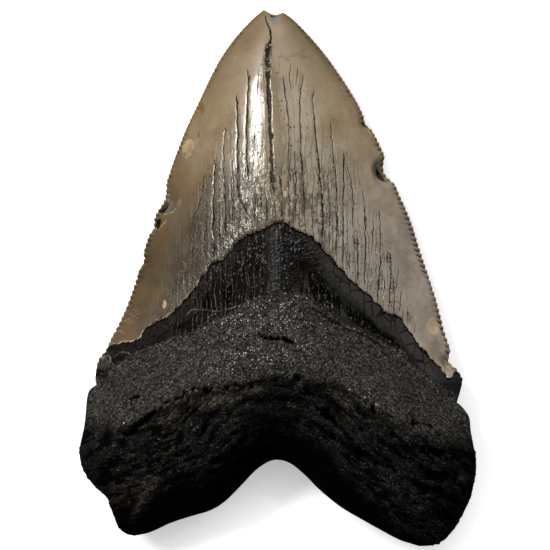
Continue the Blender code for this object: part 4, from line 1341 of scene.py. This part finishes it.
studio = {
    "floorSize": 3.0,
    "floorGap": 0.00005,    # keeps the floor clear of the tooth's lowest points
    "floorGlow": 0.86,      # what the camera sees beside the light that falls on the floor
    "contactShade": 0.3,    # the same, close to the tooth
    "contactReach": 0.010,
    "floorBounce": 0.08,    # how pale the floor is to the tooth
    "paper": 0.9,           # and to the camera
    "world": 0.022,
    # name, place, width, height and power of each soft box, all aimed at the tooth
    "lights": [
        ("keyLight", (0.65, 1.22, 0.82), 1.5, 1.5, 22.5),
        ("ridgeLight", (-0.575, 0.42, 0.745), 0.50, 0.18, 12.0),
    ],
}

view = {
    "distance": 1.4,
    "sensorWidth": 36,      # mm
    "frameWidth": 0.1023,   # what it takes in from side to side, at the cutting edges' height
    "edgeHeight": 0.004,
    "middle": (-0.00054, 0.00049),
}


def makeStudio():  # paper floor, weak white world and two soft boxes
    half = studio["floorSize"] / 2
    mesh = bpy.data.meshes.new("floor")
    mesh.from_pydata([(-half, -half, 0), (half, -half, 0), (half, half, 0), (-half, half, 0)], [],
                     [(0, 1, 2, 3)])
    floor = addToScene("floor", mesh)
    floor.location.z = -studio["floorGap"]
    paper = bpy.data.materials.new("paper")
    paper.use_nodes = True
    bench["tree"] = paper.node_tree
    seen = addNode("ShaderNodeLightPath")["Is Camera Ray"]
    reach = {"Distance": studio["contactReach"]}
    openness = addNode("ShaderNodeAmbientOcclusion", reach, samples=8)["AO"]
    bounce, pale = ((value, value, value, 1) for value in (studio["floorBounce"], studio["paper"]))
    for name, value in {
        "Base Color": mixColor(seen, bounce, pale),
        "Emission Color": mixColor(seen, (0, 0, 0, 1), (1, 1, 1, 1)),
        "Emission Strength": mixValue(openness ** 1.5, studio["contactShade"], studio["floorGlow"]),
        "Roughness": 0.9,
        "Specular IOR Level": 0,
    }.items():
        feed(paper.node_tree.nodes["Principled BSDF"].inputs[name], value)
    mesh.materials.append(paper)

    world = bpy.data.worlds.new("studio")
    world.use_nodes = True
    background = world.node_tree.nodes["Background"].inputs
    background["Color"].default_value = (1, 1, 1, 1)
    background["Strength"].default_value = studio["world"]
    bpy.context.scene.world = world
    for name, place, width, height, power in studio["lights"]:
        light = bpy.data.lights.new(name, "AREA")
        light.shape = "RECTANGLE"
        light.size, light.size_y = width, height
        light.energy = power
        lamp = addToScene(name, light)
        lamp.location = place
        lamp.rotation_euler = (-lamp.location).to_track_quat("-Z", "Y").to_euler()
    print("studio: floor, world and", len(studio["lights"]), "lights")


def makeCamera():  # straight above, framed at the height of the cutting edges
    camera = bpy.data.cameras.new("camera")
    camera.sensor_width = view["sensorWidth"]
    camera.lens = view["sensorWidth"] * (view["distance"] - view["edgeHeight"]) / view["frameWidth"]
    placed = addToScene("camera", camera)
    placed.location = (*view["middle"], view["distance"])
    bpy.context.scene.camera = placed
    print("camera:", round(camera.lens), "mm lens")


makeTooth()
makeStudio()
makeCamera()
bpy.context.scene.view_settings.view_transform = "Standard"
